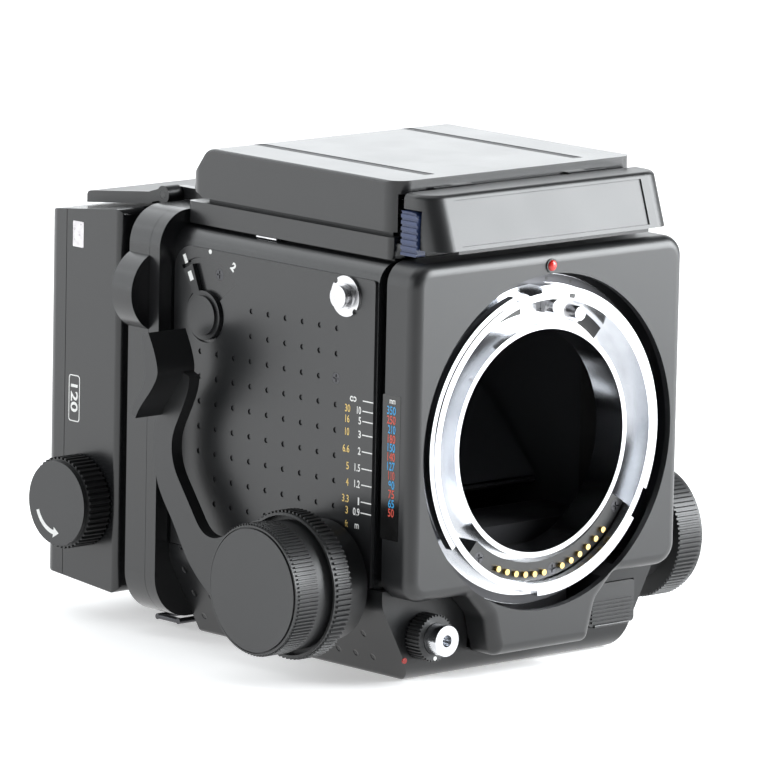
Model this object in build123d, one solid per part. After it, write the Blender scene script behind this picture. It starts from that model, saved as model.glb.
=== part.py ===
from build123d import *
import os
from math import atan2, cos, degrees, hypot, pi, radians, sin, sqrt, tan

# A medium format single lens reflex: body, focusing bellows, waist level finder and revolving roll film back.
# Millimetres. X runs across the camera, -Y is the way the lens looks, +Z is up.
# The origin is the mouth of the tripod socket, in the underside of the body.

# Body casting
BODY_HALF = 48.6
BODY_FRONT = -41.0
BODY_REAR = 39.4
BODY_TOP = 111.6
BODY_WALL = 2.6
TOP_EDGE_R = 6.0
SEAM_Z = 25.6
LENS_Z = 61.6
PANEL_T = 0.6
PANEL_X = BODY_HALF + PANEL_T
PANEL_TOP = 107.0
PANEL_MARGIN = 0.7
SEAM_GAP = 0.3
FIT = 0.05

# Dimples pressed in the side panels
DIMPLE_PITCH = 6.714
DIMPLE_R = 0.75
DIMPLE_DEPTH = 0.35
DIMPLE_Y = 1.06
DIMPLE_Z = 65.81
DIMPLE_ROWS = {-4: (-1, 4), -3: (-1, 4), -2: (-4, 3), -1: (-4, 4), 0: (-4, 4), 1: (-4, 4),
               2: (-4, 4), 3: (-3, 4), 4: (-3, 0)}

# Base housing, which holds the focusing rails
BASE_HALF = BODY_HALF + 0.4
BASE_FOOT_HALF = 37.4
BASE_FRONT = -45.0
BASE_FOOT_FRONT = -38.6
BASE_SHOULDER_Z = 21.5
BASE_SHOULDER_R = 7.0
BASE_WALL = 2.4
BASE_LIP_Z = 5.2
NOTCH_HALF = 18.4

# Tripod socket
BUSH_R = 8.0
BUSH_H = 8.0
SOCKET_R = 4.0
SOCKET_DEPTH = 6.5

# Front panel that moves out with the lens
FRONT_Y = -55.0
FRONT_HALF = BODY_HALF + 0.1
FRONT_TOP = 112.5
FRONT_LOW = 23.5
FRONT_CORNER_R = 6.0
FRONT_EDGE_R = 3.2
FRONT_SKIN = 2.0
FRONT_BACK = -44.2
RECESS_R = 44.8
APRON_WIDE = 26.5
APRON_WAIST = 20.0
APRON_WAIST_Z = 17.0
APRON_FOOT = 17.0
APRON_Z = 6.0

# Lens mount
FLANGE_R = 43.9
FLANGE_FRONT = -49.0
FLANGE_BACK = -45.0
RING_R = 39.7
RING_BORE_R = 37.84
RING_FRONT = -54.0
LUG_R = 41.24
LUG_FRONT = -53.7
LUG_T = 2.5
LUG_GAPS = ((-92.0, -142.0), (-36.0, -24.0), (86.0, 107.0))
MOUNT_FLOOR = -47.0
THROAT_R = 31.1
THROAT_BORE_R = 29.7
THROAT_FRONT = -52.4

# Electric contacts in the mount
BLOCK_IN_R = 32.6
BLOCK_OUT_R = 37.5
BLOCK_FRONT = -51.1
BLOCK_FROM = -41.0
BLOCK_TO = 58.0
PIN_CIRCLE_R = 35.7
PIN_R = 0.8
PIN_TIP = 1.0
PIN_STEP = 5.45
PIN_COUNT = 6
PIN_GROUP_STARTS = (-23.3, 14.6)
MOUNT_SCREW_ANGLES = (-35.0, 10.0, 54.2)
MOUNT_SCREW_R = 1.6

# Cocking ring that winds the lens's shutter
COCK_IN_R = 33.4
COCK_OUT_R = 37.3
COCK_T = 1.6
COCK_FROM = 62.0
COCK_TO = 84.0
COCK_ROLLER_R = 1.9

# Front standard behind the panel
FRAME_HALF = BODY_HALF - 2.4
FRAME_LOW = 27.0
FRAME_HIGH = 110.0
FRAME_BACK = -42.4
TONGUE_HALF = 17.6
TONGUE_Z = 9.4

# Bellows
BELLOWS_HALF = 34.5
BELLOWS_IN = 30.5
BELLOWS_GAP = 0.2

# Mirror box
BOX_SIDE_ROOM = 7.6
BOX_HALF = BODY_HALF - BODY_WALL - BOX_SIDE_ROOM
BOX_WALL = 1.4
BOX_FRONT = -35.0
BOX_REAR = 36.6
BOX_FLOOR = 24.9
BOX_STEP_Y = -13.6
BOX_STEP_Z = 34.6
BOX_MOUTH = 33.0
BOX_TOP_LIP = 98.5

# Mirror and light baffle
MIRROR_Y = 33.2
MIRROR_Z = 88.44
MIRROR_LEN = 66.0
MIRROR_SIDE_ROOM = 1.5
MIRROR_HALF = BOX_HALF - BOX_WALL - MIRROR_SIDE_ROOM
MIRROR_REST = 45.0
MIRROR_GLASS_T = 1.8
MIRROR_PLATE_T = 1.2
MIRROR_FACE = 1.6
HINGE_PIN_R = 1.2
BARREL_R = 1.7
BAFFLE_Y = 35.2
BAFFLE_Z = 84.6
BAFFLE_LEN = 57.0
BAFFLE_T = 1.0

# Film gate in the body and the back
GATE_HALF = 35.0
FRAME_X = 28.0
FRAME_Z = 34.75

# Focusing screen
SCREEN_X = 37.0
SCREEN_Y = 33.5
SCREEN_T = 2.0
SCREEN_LEDGE = 2.0
SCREEN_SINK = 1.2

# Focusing drive
KNOB_Y = -24.6
KNOB_Z = 26.1
SHAFT_R = 3.0
TOOTH_MODULE = 0.7
PINION_TEETH = 20
PINION_W = 5.4
RAIL_X = 13.0
RAIL_W = 5.0
RAIL_FLOOR = 12.0
RAIL_REAR = 30.0
GUIDE_LIP = 1.0
GUIDE_SIDE_GAP = 0.2
GUIDE_FLOOR_GAP = 0.1
GUIDE_LIP_Z = 15.6
GUIDE_REAR = 35.0
SHAFT_BUSH_R = 6.0
SHAFT_BUSH_LIP = 0.5

# Cocking lever, next to the left side panel
LEVER_GAP = 1.0
LEVER_HUB_R = 16.0
LEVER_HUB_W = 8.3
LEVER_T = 3.6
LEVER_IN = PANEL_X + LEVER_GAP
LEVER_OUT = LEVER_IN + LEVER_HUB_W
TAB_IN = LEVER_OUT - 3.9
TAB_OUT = LEVER_OUT + 9.1

# Outlines of the lever in (Y, Z), measured from the focusing shaft
LEVER_FRONT_EDGE = ((0, 16.0), (14.6, 14.9), (28.1, 9.4), (35.6, 6.3), (39.5, 7.1), (43.5, 11.2), (48.0, 17.4),
                    (51.7, 23.1), (52.8, 27.7), (52.3, 32.0), (50.8, 35.4), (48.2, 40.5), (46.5, 44.9), (46.2, 48.1))
LEVER_REAR_EDGE = ((58.2, 37.4), (59.8, 31.2), (59.7, 25.1), (58.3, 18.0), (52.2, 8.6), (45.6, -1.2), (37.6, -8.3),
                   (23.4, -15.0), (0, -16.0))
LEVER_TOP = ((51.1, 49.9), (55.6, 41.4))
TAB_FRONT_FACE = ((57.2, 36.3), (55.6, 39.2), (52.7, 42.7), (49.8, 46.5), (48.6, 49.3), (49.0, 52.3), (50.5, 56.2),
                  (52.5, 59.9))
TAB_REAR_FACE = ((55.0, 58.8), (54.1, 55.4), (53.5, 51.4), (53.8, 47.1), (55.4, 43.7), (58.0, 40.1), (59.0, 37.3))

# Focusing knobs: coarse ring outside the lever, fine knob with its neck in the ring's cup
RING_GAP = 0.5
COARSE_R = 19.7
COARSE_W = 5.5
CUP_R = 18.4
CUP_DEPTH = 3.0
NECK_R = 17.0
NECK_GAP = 0.4
NECK_SHOWN = 4.0
FINE_R = 17.5
FINE_GRIP_W = 7.5
FINE_EDGE = 0.8
FINE_CAP_R = 16.2
FINE_CAP_T = 0.3
FINE_GROOVE = 0.4
SHAFT_HOLD = 8.0
RIGHT_KNOB_R = 18.0
RIGHT_HUB_R = 13.0
RIGHT_HUB_IN = PANEL_X + 3.2
RIGHT_KNOB_IN = PANEL_X + 12.8
RIGHT_KNOB_OUT = RIGHT_KNOB_IN + 9.0
KNURL_DEPTH = 0.6
COARSE_KNURLS = 84
FINE_KNURLS = 100
COARSE_IN = LEVER_OUT + RING_GAP
COARSE_OUT = COARSE_IN + COARSE_W
FINE_IN = COARSE_OUT - CUP_DEPTH + NECK_GAP
FINE_GRIP_IN = COARSE_OUT + NECK_SHOWN
FINE_OUT = FINE_GRIP_IN + FINE_GRIP_W

# Selector on the left side panel
SELECTOR_Y = 26.2
SELECTOR_Z = 89.2
SELECTOR_FAN_R = 15.5
SELECTOR_TAIL_R = 7.4
SELECTOR_FAN_FRONT = -52
SELECTOR_FAN_REAR = 38
SELECTOR_R = 6.6
SELECTOR_CAP_R = 5.3
SELECTOR_TIP = 14.0
SELECTOR_REST = 27.0
SELECTOR_PIN_R = 1.6
SELECTOR_T = 1.3

# Strap studs and panel screws
STUD_Y = -29.4
STUD_Z = 101.7
STUD_BASE_R = 5.4
STUD_BASE_T = 0.7
STUD_BOSS_R = 3.4
STUD_BOSS_T = 0.4
STUD_NECK_R = 2.0
STUD_NECK_L = 1.2
STUD_HEAD_R = 3.0
STUD_HEAD_T = 1.0
STUD_NOTCH = 0.9
SCREW_R = 1.5
SCREW_HEAD_T = 0.5
SLOT_W = 0.4
PANEL_SCREWS = ((-25.8, 79.5), (32.0, 36.0))
SUNK_SCREW = (21.3, 100.6)

# Release button
RELEASE_X = -34.4
RELEASE_Z = 12.4
RELEASE_R = 4.1
RELEASE_FRONT = -54.5
RELEASE_TRAVEL = 3.0
COLLAR_R = 6.3
COLLAR_FRONT = -50.0
CABLE_R = 1.6
CABLE_DEPTH = 5.0
RELEASE_TUBE_WALL = 1.1
RELEASE_GAP = 0.1
SPRING_R = 3.4
SPRING_WIRE = 0.7
SPRING_L = 6.0

# Battery
BATTERY_X = 33.3
BATTERY_Z = 12.6
BATTERY_R = 6.5
BATTERY_L = 25.2
BATTERY_FRONT = -41.6
DOOR_X0 = 25.4
DOOR_X1 = 42.3
DOOR_Z0 = 7.2
DOOR_Z1 = 18.6
DOOR_PROUD = 0.5
DOOR_T = 2.2
DOOR_BARREL_R = 0.45
GRIP_X0 = 26.4
GRIP_X1 = 41.3
GRIP_Z0 = 7.9
GRIP_Z1 = 14.2
GRIP_RIDGES = 6
GRIP_H = 0.5

# Waist level finder
HOOD_HALF = 43.0
HOOD_FRONT = -41.0
HOOD_FOOT_REAR = 36.4
HOOD_REAR = 41.2
FINDER_BASE_HALF = 44.6
FINDER_BASE_REAR = 39.2
FINDER_BASE_R = 1.6
FINDER_SEAM = 0.6
FINDER_FOOT_INSET = 1.2
HOOD_SEAM_Z = 118.0
LID_SEAM = 1.0
HOOD_TOP = 132.5
HOOD_CORNER_R = 5.0
HOOD_INNER_R = 2.2
HOOD_EDGE_R = 0.8
HOOD_WALL = 1.4
HOOD_SLANT_Z = 122.2
HOOD_MOUTH_Z = 129.0
HOOD_SHOULDER_Y = 33.6
HOOD_SHOULDER_R = 5.0
GROOVE_X = 26.7
GROOVE_W = 3.4
GROOVE_DEPTH = 0.5
GROOVE_FRONT = -36.0
GROOVE_REAR = 32.0
LID_AXIS_Y = -42.1
LID_AXIS_Z = 129.2
LID_PIN_R = 0.5
LID_LUG_R = 1.0
LID_LUG_X = 17.0
LID_LUG_W = 7.0
UPRIGHT_FRONT = -43.2
UPRIGHT_BACK = -41.3
UPRIGHT_TOP = 127.8
UPRIGHT_HALF = 38.0
RIM_GAP = 0.5
RIM_T = 1.6
RIM_SIDE_TOP = 126.3
RIM_REAR_TOP = 122.6
LEAF_T = 0.9
LEAF_PIN_R = 0.5
LEAF_BARREL_R = 0.9
LEAF_AXIS_LIFT = 1.1
SIDE_LEAF_FRONT = -36.0
SIDE_LEAF_REAR = 32.6
REAR_AXIS_INSET = 5.6
REAR_LEAF_HALF = 35.5
REAR_LEAF_LEN = 33.0
EAR_W = 1.6
LOUPE_ARM = 44.0
LOUPE_HALF = 17.0
LOUPE_LEN = 29.0
LOUPE_T = 1.4
LOUPE_Z = 129.7
LOUPE_LENS_R = 11.5

# Nameplate block over the mount
PLATE_HALF = 42.4
PLATE_LOW = 115.6
PLATE_HIGH = 129.8
PLATE_LOW_Y = -56.9
PLATE_HIGH_Y = -52.2
PLATE_INSET_HALF = 33.75
PLATE_INSET_LOW = 116.6
PLATE_INSET_HIGH = 128.3
PLATE_INSET_DEPTH = 0.4
PLATE_LIP_HALF = 34.3
PLATE_CORNER_R = 6.0
PLATE_TOP_R = 1.6
PLATE_LIP_Y = -55.6
PLATE_LIP_Z = 114.5
CATCH_X0 = -43.5
CATCH_X1 = -40.3
CATCH_Y0 = -49.3
CATCH_Y1 = -43.2
CATCH_Z0 = 113.8
CATCH_Z1 = 125.4
CATCH_TOP_R = 2.0
CATCH_RIDGES = 7

# Revolving adapter
ADAPTER_HALF = 54.0
ADAPTER_R = 10.0
ADAPTER_LOW = 5.0
ADAPTER_LOW_R = 12.0
ADAPTER_T = 4.0
REVOLVE_GAP = 0.1
REVOLVE_T = 8.1
RACE_R = 51.5
RACE_W = 2.6
RACE_DEPTH = 1.6
BULGE_X = -49.0
BULGE_Z = 93.5
BULGE_R = 11.2

# Film back
BACK_HALF = 48.0
NECK_HALF = 44.5
NECK_END = 62.2
NECK_LOW = 13.0
NECK_HIGH = 109.0
CASE_END = 84.4
DOOR_END = 92.4
CASE_LOW = 7.8
CASE_HIGH = 112.9
CASE_LOW_REAR = 10.5
CASE_HIGH_REAR = 109.6
CASE_WALL = 1.8
CASE_EDGE_R = 4.0
CASE_FRONT_R = 2.0
CASE_DOOR_GAP = 0.2
NECK_WALL = 2.9
SLIDE_Y = 53.0
SLIDE_T = 0.5
SLIDE_SLOT = 0.9
SLIDE_HALF = 31.0
SLIDE_TOP = 99.5
PULL_HALF = 41.0
PULL_R = 0.8
PULL_Z = 2.4
PULL_L = 8.5

# Film transport
SPOOL_Y = 76.8
SPOOL_LOW_Z = 31.6
SPOOL_HIGH_Z = 91.5
SPOOL_HALF = 32.8
SPOOL_R = 12.5
SPOOL_FLANGE = 1.2
SPOOL_CORE_R = 6.0
SPOOL_BORE_R = 3.0
FILM_R = 10.8
INSERT_X = 33.2
INSERT_T = 1.2
INSERT_LOW = 15.5
INSERT_HIGH = 106.0
INSERT_FRONT = 55.0
BRIDGE_Y = 60.0
ROLLER_R = 2.2
ROLLER_Z = 41.5
ROLLER_Y = 57.6
PRESSURE_Y = 54.9
PRESSURE_T = 1.2
PRESSURE_HALF = 30.5
PRESSURE_Z = 37.0
WIND_R = 12.5
WIND_IN = 48.4
WIND_STEP = 55.5
WIND_OUT = 57.0
WIND_FACE_R = 11.5
WIND_SHAFT_R = 2.9

# Locks of the film back
FLAP_HALF = 38.0
FLAP_T = 3.2
FLAP_PIN_Y = 56.8
FLAP_PIN_Z = 116.7
FLAP_BARREL_R = 2.4
FLAP_PIN_R = 1.0
FLAP_REAR = 88.0
FLAP_LIFT = 0.8
FLAP_START = 4.4
FLAP_ARM = 5.0
HINGE_BAR_TOP = 120.4
HINGE_BAR_Y0 = 44.6
HINGE_BAR_Y1 = 49.4
DOOR_HINGE_Z = 8.2
DOOR_HINGE_R = 1.5
DOOR_HINGE_HALF = 30.0
DOOR_KNUCKLE_HALF = 10.0
LATCH_Z = 61.6
LATCH_LEN = 14.0
LATCH_W = 6.0
LATCH_T = 2.0

# Right side of the body
DIAL_Y = 10.0
DIAL_Z = 95.0
DIAL_R = 10.5
DIAL_T = 7.0
SHOE_Y = 20.0
SHOE_Z = 66.0
SHOE_W = 18.8
SHOE_LEN = 20.0
SHOE_LIP = 2.6
SHOE_T = 1.2
SHOE_GAP = 2.2
SYNC_Y = -22.0
SYNC_Z = 62.0
SYNC_R = 4.2
SYNC_T = 3.0
SYNC_HOLE_R = 1.5
LOCK_R = 11.0
LOCK_T = 1.8
LOCK_ARM = 21.5

# Electronics
BOARD_T = 1.4
BOARD_GAP = 2.2
BOARD_HALF_Y = 27.0
BOARD_Z0 = 42.0
BOARD_Z1 = 98.0

PINION_R = TOOTH_MODULE * PINION_TEETH / 2
RACK_PITCH_Z = KNOB_Z - PINION_R
REVOLVE_FRONT = BODY_REAR + ADAPTER_T + REVOLVE_GAP
REVOLVE_REAR = REVOLVE_FRONT + REVOLVE_T
RIM_OUT = HOOD_HALF - HOOD_WALL - RIM_GAP
SIDE_AXIS_X = RIM_OUT - RIM_T / 2
SIDE_AXIS_Z = RIM_SIDE_TOP + LEAF_AXIS_LIFT
REAR_AXIS_Y = FINDER_BASE_REAR - REAR_AXIS_INSET
REAR_AXIS_Z = RIM_REAR_TOP + LEAF_AXIS_LIFT


def block(x0, x1, y0, y1, z0, z1):
    """A box between two opposite corners."""
    box = Box(x1 - x0, y1 - y0, z1 - z0)
    return Pos((x0 + x1) / 2, (y0 + y1) / 2, (z0 + z1) / 2) * box


def along_x(sketch, x0, x1):
    """Carry a sketch drawn in (Y, Z) from x0 to x1."""
    plane = Plane(origin=(x0, 0, 0), x_dir=(0, 1, 0), z_dir=(1, 0, 0))
    return extrude(plane * sketch, amount=x1 - x0)


def along_y(sketch, y0, y1):
    """Carry a sketch drawn in (X, Z) from y0 to y1."""
    plane = Plane(origin=(0, y1, 0), x_dir=(1, 0, 0), z_dir=(0, -1, 0))
    return extrude(plane * sketch, amount=y1 - y0)


def along_z(sketch, z0, z1):
    """Carry a sketch drawn in (X, Y) from z0 to z1."""
    return extrude(Plane.XY.offset(z0) * sketch, amount=z1 - z0)


def rod_x(y, z, r, x0, x1):
    return along_x(Pos(y, z) * Circle(r), x0, x1)


def rod_y(x, z, r, y0, y1):
    return along_y(Pos(x, z) * Circle(r), y0, y1)


def rod_z(x, y, r, z0, z1):
    return along_z(Pos(x, y) * Circle(r), z0, z1)


def polygon(points):
    """A face whose corners are the given points."""
    return make_face(Polyline(*points, close=True))


def rounded(points, radii):
    """A polygon with its own rounding at each corner; 0 leaves a corner sharp."""
    face = polygon(points)
    for r in sorted(set(radii)):
        if r > 0:
            marks = [p for p, q in zip(points, radii) if q == r]
            corners = [v for v in face.vertices() if any(hypot(v.X - p[0], v.Y - p[1]) < 0.01 for p in marks)]
            face = fillet(corners, r)
    return face


def plate_xz(x0, x1, z0, z1, r):
    """A rounded rectangle in (X, Z)."""
    return Pos((x0 + x1) / 2, (z0 + z1) / 2) * RectangleRounded(x1 - x0, z1 - z0, r)


def sector(r0, r1, start, end, steps=24):
    """A ring sector in (X, Z) about the lens axis; angles in degrees from +X."""
    angles = [radians(start + (end - start) * k / steps) for k in range(steps + 1)]
    outer = [(r1 * cos(a), LENS_Z + r1 * sin(a)) for a in angles]
    inner = [(r0 * cos(a), LENS_Z + r0 * sin(a)) for a in reversed(angles)]
    return polygon(outer + inner)


def knurled(r, depth, count):
    """A round section with grooves cut along it."""
    tooth = pi / count
    points = []
    for k in range(count):
        a = 2 * pi * k / count
        for turn, radius in ((-0.55, r - depth), (-0.3, r), (0.3, r), (0.55, r - depth)):
            points.append((radius * cos(a + turn * tooth), radius * sin(a + turn * tooth)))
    return polygon(points)


def both_sides(make):
    """The same piece on the left and on the right."""
    return [make(-1), make(1)]


# Body

def body_shell():
    outline = rounded([(-BODY_HALF, SEAM_Z), (BODY_HALF, SEAM_Z), (BODY_HALF, BODY_TOP), (-BODY_HALF, BODY_TOP)],
                      [0, 0, TOP_EDGE_R, TOP_EDGE_R])
    shell = along_y(outline, BODY_FRONT, BODY_REAR)
    room = BODY_HALF - BODY_WALL
    shell -= block(-room, room, BODY_FRONT + BODY_WALL, BODY_REAR - BODY_WALL, SEAM_Z, BODY_TOP - BODY_WALL)
    shell -= block(-BOX_HALF - 1, BOX_HALF + 1, BODY_FRONT, BODY_FRONT + BODY_WALL, SEAM_Z, BOX_TOP_LIP + 1)
    shell -= block(-GATE_HALF, GATE_HALF, BODY_REAR - BODY_WALL, BODY_REAR, LENS_Z - GATE_HALF, LENS_Z + GATE_HALF)
    ledge = SCREEN_LEDGE
    shell -= block(-SCREEN_X, SCREEN_X, -SCREEN_Y, SCREEN_Y, BODY_TOP - SCREEN_SINK, BODY_TOP)
    shell -= block(-SCREEN_X + ledge, SCREEN_X - ledge, -SCREEN_Y + ledge, SCREEN_Y - ledge,
                   BODY_TOP - BODY_WALL, BODY_TOP)
    shell -= rod_x(KNOB_Y, KNOB_Z, SHAFT_BUSH_R + FIT, -BODY_HALF, BODY_HALF)
    shell -= rod_x(SELECTOR_Y, SELECTOR_Z, SELECTOR_PIN_R + FIT, -BODY_HALF, -room)
    for y, z in PANEL_SCREWS + (SUNK_SCREW,):
        shell -= rod_x(y, z, SCREW_R / 2, -BODY_HALF, -room) + rod_x(y, z, SCREW_R / 2, room, BODY_HALF)
    return shell - rod_x(*SUNK_SCREW, SCREW_R + FIT, -BODY_HALF, -BODY_HALF + PANEL_T)


def dimples(side):
    """Shallow round pits in rows and columns."""
    pits = []
    for row, (first, last) in DIMPLE_ROWS.items():
        for column in range(first, last + 1):
            y = DIMPLE_Y - column * DIMPLE_PITCH
            z = DIMPLE_Z - row * DIMPLE_PITCH
            pits.append(rod_x(y, z, DIMPLE_R, PANEL_X - DIMPLE_DEPTH, PANEL_X))
    return [pit if side > 0 else mirror(pit, about=Plane.YZ) for pit in pits]


def side_panel(side):
    """A thin cover plate on one side of the casting."""
    front = BODY_FRONT + PANEL_MARGIN
    rear = BODY_REAR - PANEL_MARGIN
    low = SEAM_Z + SEAM_GAP
    sheet = rounded([(front, low), (rear, low), (rear, PANEL_TOP), (front, PANEL_TOP)], [0, 0, 7.0, 1.0])
    sheet -= Pos(KNOB_Y, KNOB_Z) * Circle(SHAFT_BUSH_R + SHAFT_BUSH_LIP)
    for y, z in PANEL_SCREWS + (SUNK_SCREW,):
        sheet -= Pos(y, z) * Circle(SCREW_R + FIT)
    if side < 0:
        fan = [(SELECTOR_Y + SELECTOR_FAN_R * sin(radians(a)), SELECTOR_Z + SELECTOR_FAN_R * cos(radians(a)))
               for a in range(SELECTOR_FAN_FRONT, SELECTOR_FAN_REAR + 1, 5)]
        sheet -= polygon([(SELECTOR_Y, SELECTOR_Z)] + fan)
        sheet -= Pos(SELECTOR_Y, SELECTOR_Z) * Circle(SELECTOR_TAIL_R)
    plate = along_x(sheet, BODY_HALF, PANEL_X) if side > 0 else along_x(sheet, -PANEL_X, -BODY_HALF)
    return plate - dimples(side)


def base_outline(inset):
    """Cross-section of the base housing in (X, Z), drawn in by a wall."""
    top = SEAM_Z
    half = BASE_HALF - inset
    foot = BASE_FOOT_HALF - inset
    low = inset
    return rounded([(-half, top), (half, top), (half, BASE_SHOULDER_Z), (foot, low), (-foot, low),
                    (-half, BASE_SHOULDER_Z)], [0, 0, BASE_SHOULDER_R, 2.0, 2.0, BASE_SHOULDER_R])


def base_side(inset):
    """Side view of the base housing in (Y, Z), rounded under its front."""
    front = BASE_FRONT + inset
    low = inset
    bend = BASE_FOOT_FRONT - BASE_FRONT
    return rounded([(front, SEAM_Z), (BODY_REAR - inset, SEAM_Z), (BODY_REAR - inset, low), (front, low)],
                   [0, 0, 0, bend])


def release_tube():
    """Guide behind the release button, closed at its inner end."""
    bore = RELEASE_R + RELEASE_GAP
    front = BASE_FRONT + BASE_WALL
    end = front + SPRING_L + RELEASE_TRAVEL + 0.6
    tube = rod_y(RELEASE_X, RELEASE_Z, bore + RELEASE_TUBE_WALL, front - 0.2, end + 1.2)
    return tube - rod_y(RELEASE_X, RELEASE_Z, bore, front - 0.2, end)


def base_housing():
    wide = BASE_HALF + 1
    housing = along_y(base_outline(0), BASE_FRONT, BODY_REAR) & along_x(base_side(0), -wide, wide)
    room = along_y(base_outline(BASE_WALL), BASE_FRONT, BODY_REAR) & along_x(base_side(BASE_WALL), -wide, wide)
    housing -= room
    housing -= block(-NOTCH_HALF, NOTCH_HALF, BASE_FRONT, BASE_FRONT + BASE_WALL + 1, BASE_LIP_Z + 2, SEAM_Z)
    housing -= rod_x(KNOB_Y, KNOB_Z, SHAFT_BUSH_R + FIT, -wide, wide)
    housing -= rod_x(KNOB_Y, KNOB_Z, SHAFT_BUSH_R + SHAFT_BUSH_LIP, -wide, -BODY_HALF)
    housing -= rod_x(KNOB_Y, KNOB_Z, SHAFT_BUSH_R + SHAFT_BUSH_LIP, BODY_HALF, wide)
    housing -= rod_z(0, 0, BUSH_R, 0, BASE_WALL)
    housing -= rod_y(RELEASE_X, RELEASE_Z, RELEASE_R + RELEASE_GAP, BASE_FRONT, BASE_FRONT + BASE_WALL + 1)
    housing += release_tube()
    door = SEAM_GAP / 2
    housing -= block(DOOR_X0 - door, DOOR_X1 + door, BASE_FRONT, BASE_FRONT + BASE_WALL + 1,
                     DOOR_Z0 - door, DOOR_Z1 + door)
    return housing + battery_cradle()


def tripod_bush():
    return rod_z(0, 0, BUSH_R, 0, BUSH_H) - rod_z(0, 0, SOCKET_R, 0, SOCKET_DEPTH)


def shaft_bushes():
    """Flanged plain bearings of the focusing shaft, in both side walls."""
    room = BODY_HALF - BODY_WALL

    def bush(side):
        inner, outer = sorted((side * room, side * BODY_HALF))
        lip_in, lip_out = sorted((side * BODY_HALF, side * (PANEL_X + SHAFT_BUSH_LIP)))
        piece = rod_x(KNOB_Y, KNOB_Z, SHAFT_BUSH_R, inner, outer)
        piece += rod_x(KNOB_Y, KNOB_Z, SHAFT_BUSH_R + SHAFT_BUSH_LIP / 2, lip_in, lip_out)
        return piece - rod_x(KNOB_Y, KNOB_Z, SHAFT_R + FIT, min(inner, lip_in), max(outer, lip_out))

    return both_sides(bush)


def strap_studs():
    """Round strap lugs on both sides: notched base disc, boss, neck and head, turned from one piece."""
    boss_x = PANEL_X + STUD_BASE_T
    neck_x = boss_x + STUD_BOSS_T
    head_x = neck_x + STUD_NECK_L

    def stud(side):
        piece = rod_x(STUD_Y, STUD_Z, STUD_BASE_R, PANEL_X, boss_x)
        for turn in (45, 225):
            y = STUD_Y + STUD_BASE_R * cos(radians(turn))
            z = STUD_Z + STUD_BASE_R * sin(radians(turn))
            piece -= rod_x(y, z, STUD_NOTCH, PANEL_X, boss_x)
        piece += rod_x(STUD_Y, STUD_Z, STUD_BOSS_R, boss_x, neck_x)
        piece += rod_x(STUD_Y, STUD_Z, STUD_NECK_R, neck_x, head_x)
        piece += rod_x(STUD_Y, STUD_Z, STUD_HEAD_R, head_x, head_x + STUD_HEAD_T)
        return piece if side > 0 else mirror(piece, about=Plane.YZ)

    return both_sides(stud)


def side_screw(y, z, head_x):
    """Cross-head screw of the right side; its head ends at head_x."""
    seat = head_x - PANEL_T
    screw = rod_x(y, z, SCREW_R, seat, head_x)
    screw += rod_x(y, z, SCREW_R / 2 - FIT, BODY_HALF - BODY_WALL, seat)
    slot = SCREW_HEAD_T / 2
    reach = SCREW_R * 0.7
    screw -= block(head_x - slot, head_x, y - reach, y + reach, z - SLOT_W / 2, z + SLOT_W / 2)
    return screw - block(head_x - slot, head_x, y - SLOT_W / 2, y + SLOT_W / 2, z - reach, z + reach)


def panel_screws():
    """Screws that hold both side panels; one on the left is sunk under the selector's pointer."""
    pieces = []
    for y, z in PANEL_SCREWS:
        screw = side_screw(y, z, PANEL_X)
        pieces += [screw, mirror(screw, about=Plane.YZ)]
    sunk = mirror(side_screw(*SUNK_SCREW, BODY_HALF), about=Plane.YZ)
    return pieces + [side_screw(*SUNK_SCREW, PANEL_X), sunk]


def mirror_box():
    """Light-tight chamber between the bellows and the film gate."""
    in_half = BOX_HALF - BOX_WALL
    top = BODY_TOP - BODY_WALL
    box = block(-BOX_HALF, BOX_HALF, BOX_STEP_Y - BOX_WALL, BOX_REAR, BOX_FLOOR, top)
    box += block(-BOX_HALF, BOX_HALF, BOX_FRONT, BOX_STEP_Y, BOX_STEP_Z, top)
    box += block(-BOX_HALF, BOX_HALF, BOX_FRONT, BOX_FRONT + BOX_WALL + 0.2, FRAME_LOW, top)
    box -= block(-in_half, in_half, BOX_STEP_Y, BOX_REAR, BOX_FLOOR + BOX_WALL, top)
    box -= block(-in_half, in_half, BOX_FRONT + BOX_WALL + 0.2, BOX_STEP_Y, BOX_STEP_Z + BOX_WALL, top)
    box -= block(-BOX_MOUTH, BOX_MOUTH, BOX_FRONT, BOX_FRONT + BOX_WALL + 0.2,
                 BOX_STEP_Z + BOX_WALL, LENS_Z + BOX_MOUTH)
    for side in (-1, 1):
        x0, x1 = sorted((side * in_half, side * BOX_HALF))
        box -= rod_x(MIRROR_Y, MIRROR_Z, HINGE_PIN_R + FIT, x0, x1)
        box -= rod_x(BAFFLE_Y, BAFFLE_Z, BARREL_R / 2 + FIT, x0, x1)
    return box


def focusing_screen():
    gap = FIT
    low = BODY_TOP - SCREEN_SINK
    return block(-SCREEN_X + gap, SCREEN_X - gap, -SCREEN_Y + gap, SCREEN_Y - gap, low, low + SCREEN_T)


def circuit_board():
    """Control board on four spacers beside the mirror box."""
    x0 = BOX_HALF + BOARD_GAP
    board = block(x0, x0 + BOARD_T, -BOARD_HALF_Y, BOARD_HALF_Y, BOARD_Z0, BOARD_Z1)
    for y in (-BOARD_HALF_Y + 4, BOARD_HALF_Y - 4):
        for z in (BOARD_Z0 + 4, BOARD_Z1 - 4):
            board += rod_x(y, z, 1.5, BOX_HALF, x0)
    board += block(x0 + BOARD_T, x0 + BOARD_T + 1.6, -8, 6, 60, 74)
    board += block(x0 + BOARD_T, x0 + BOARD_T + 1.2, 10, 20, 80, 88)
    return board


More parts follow.
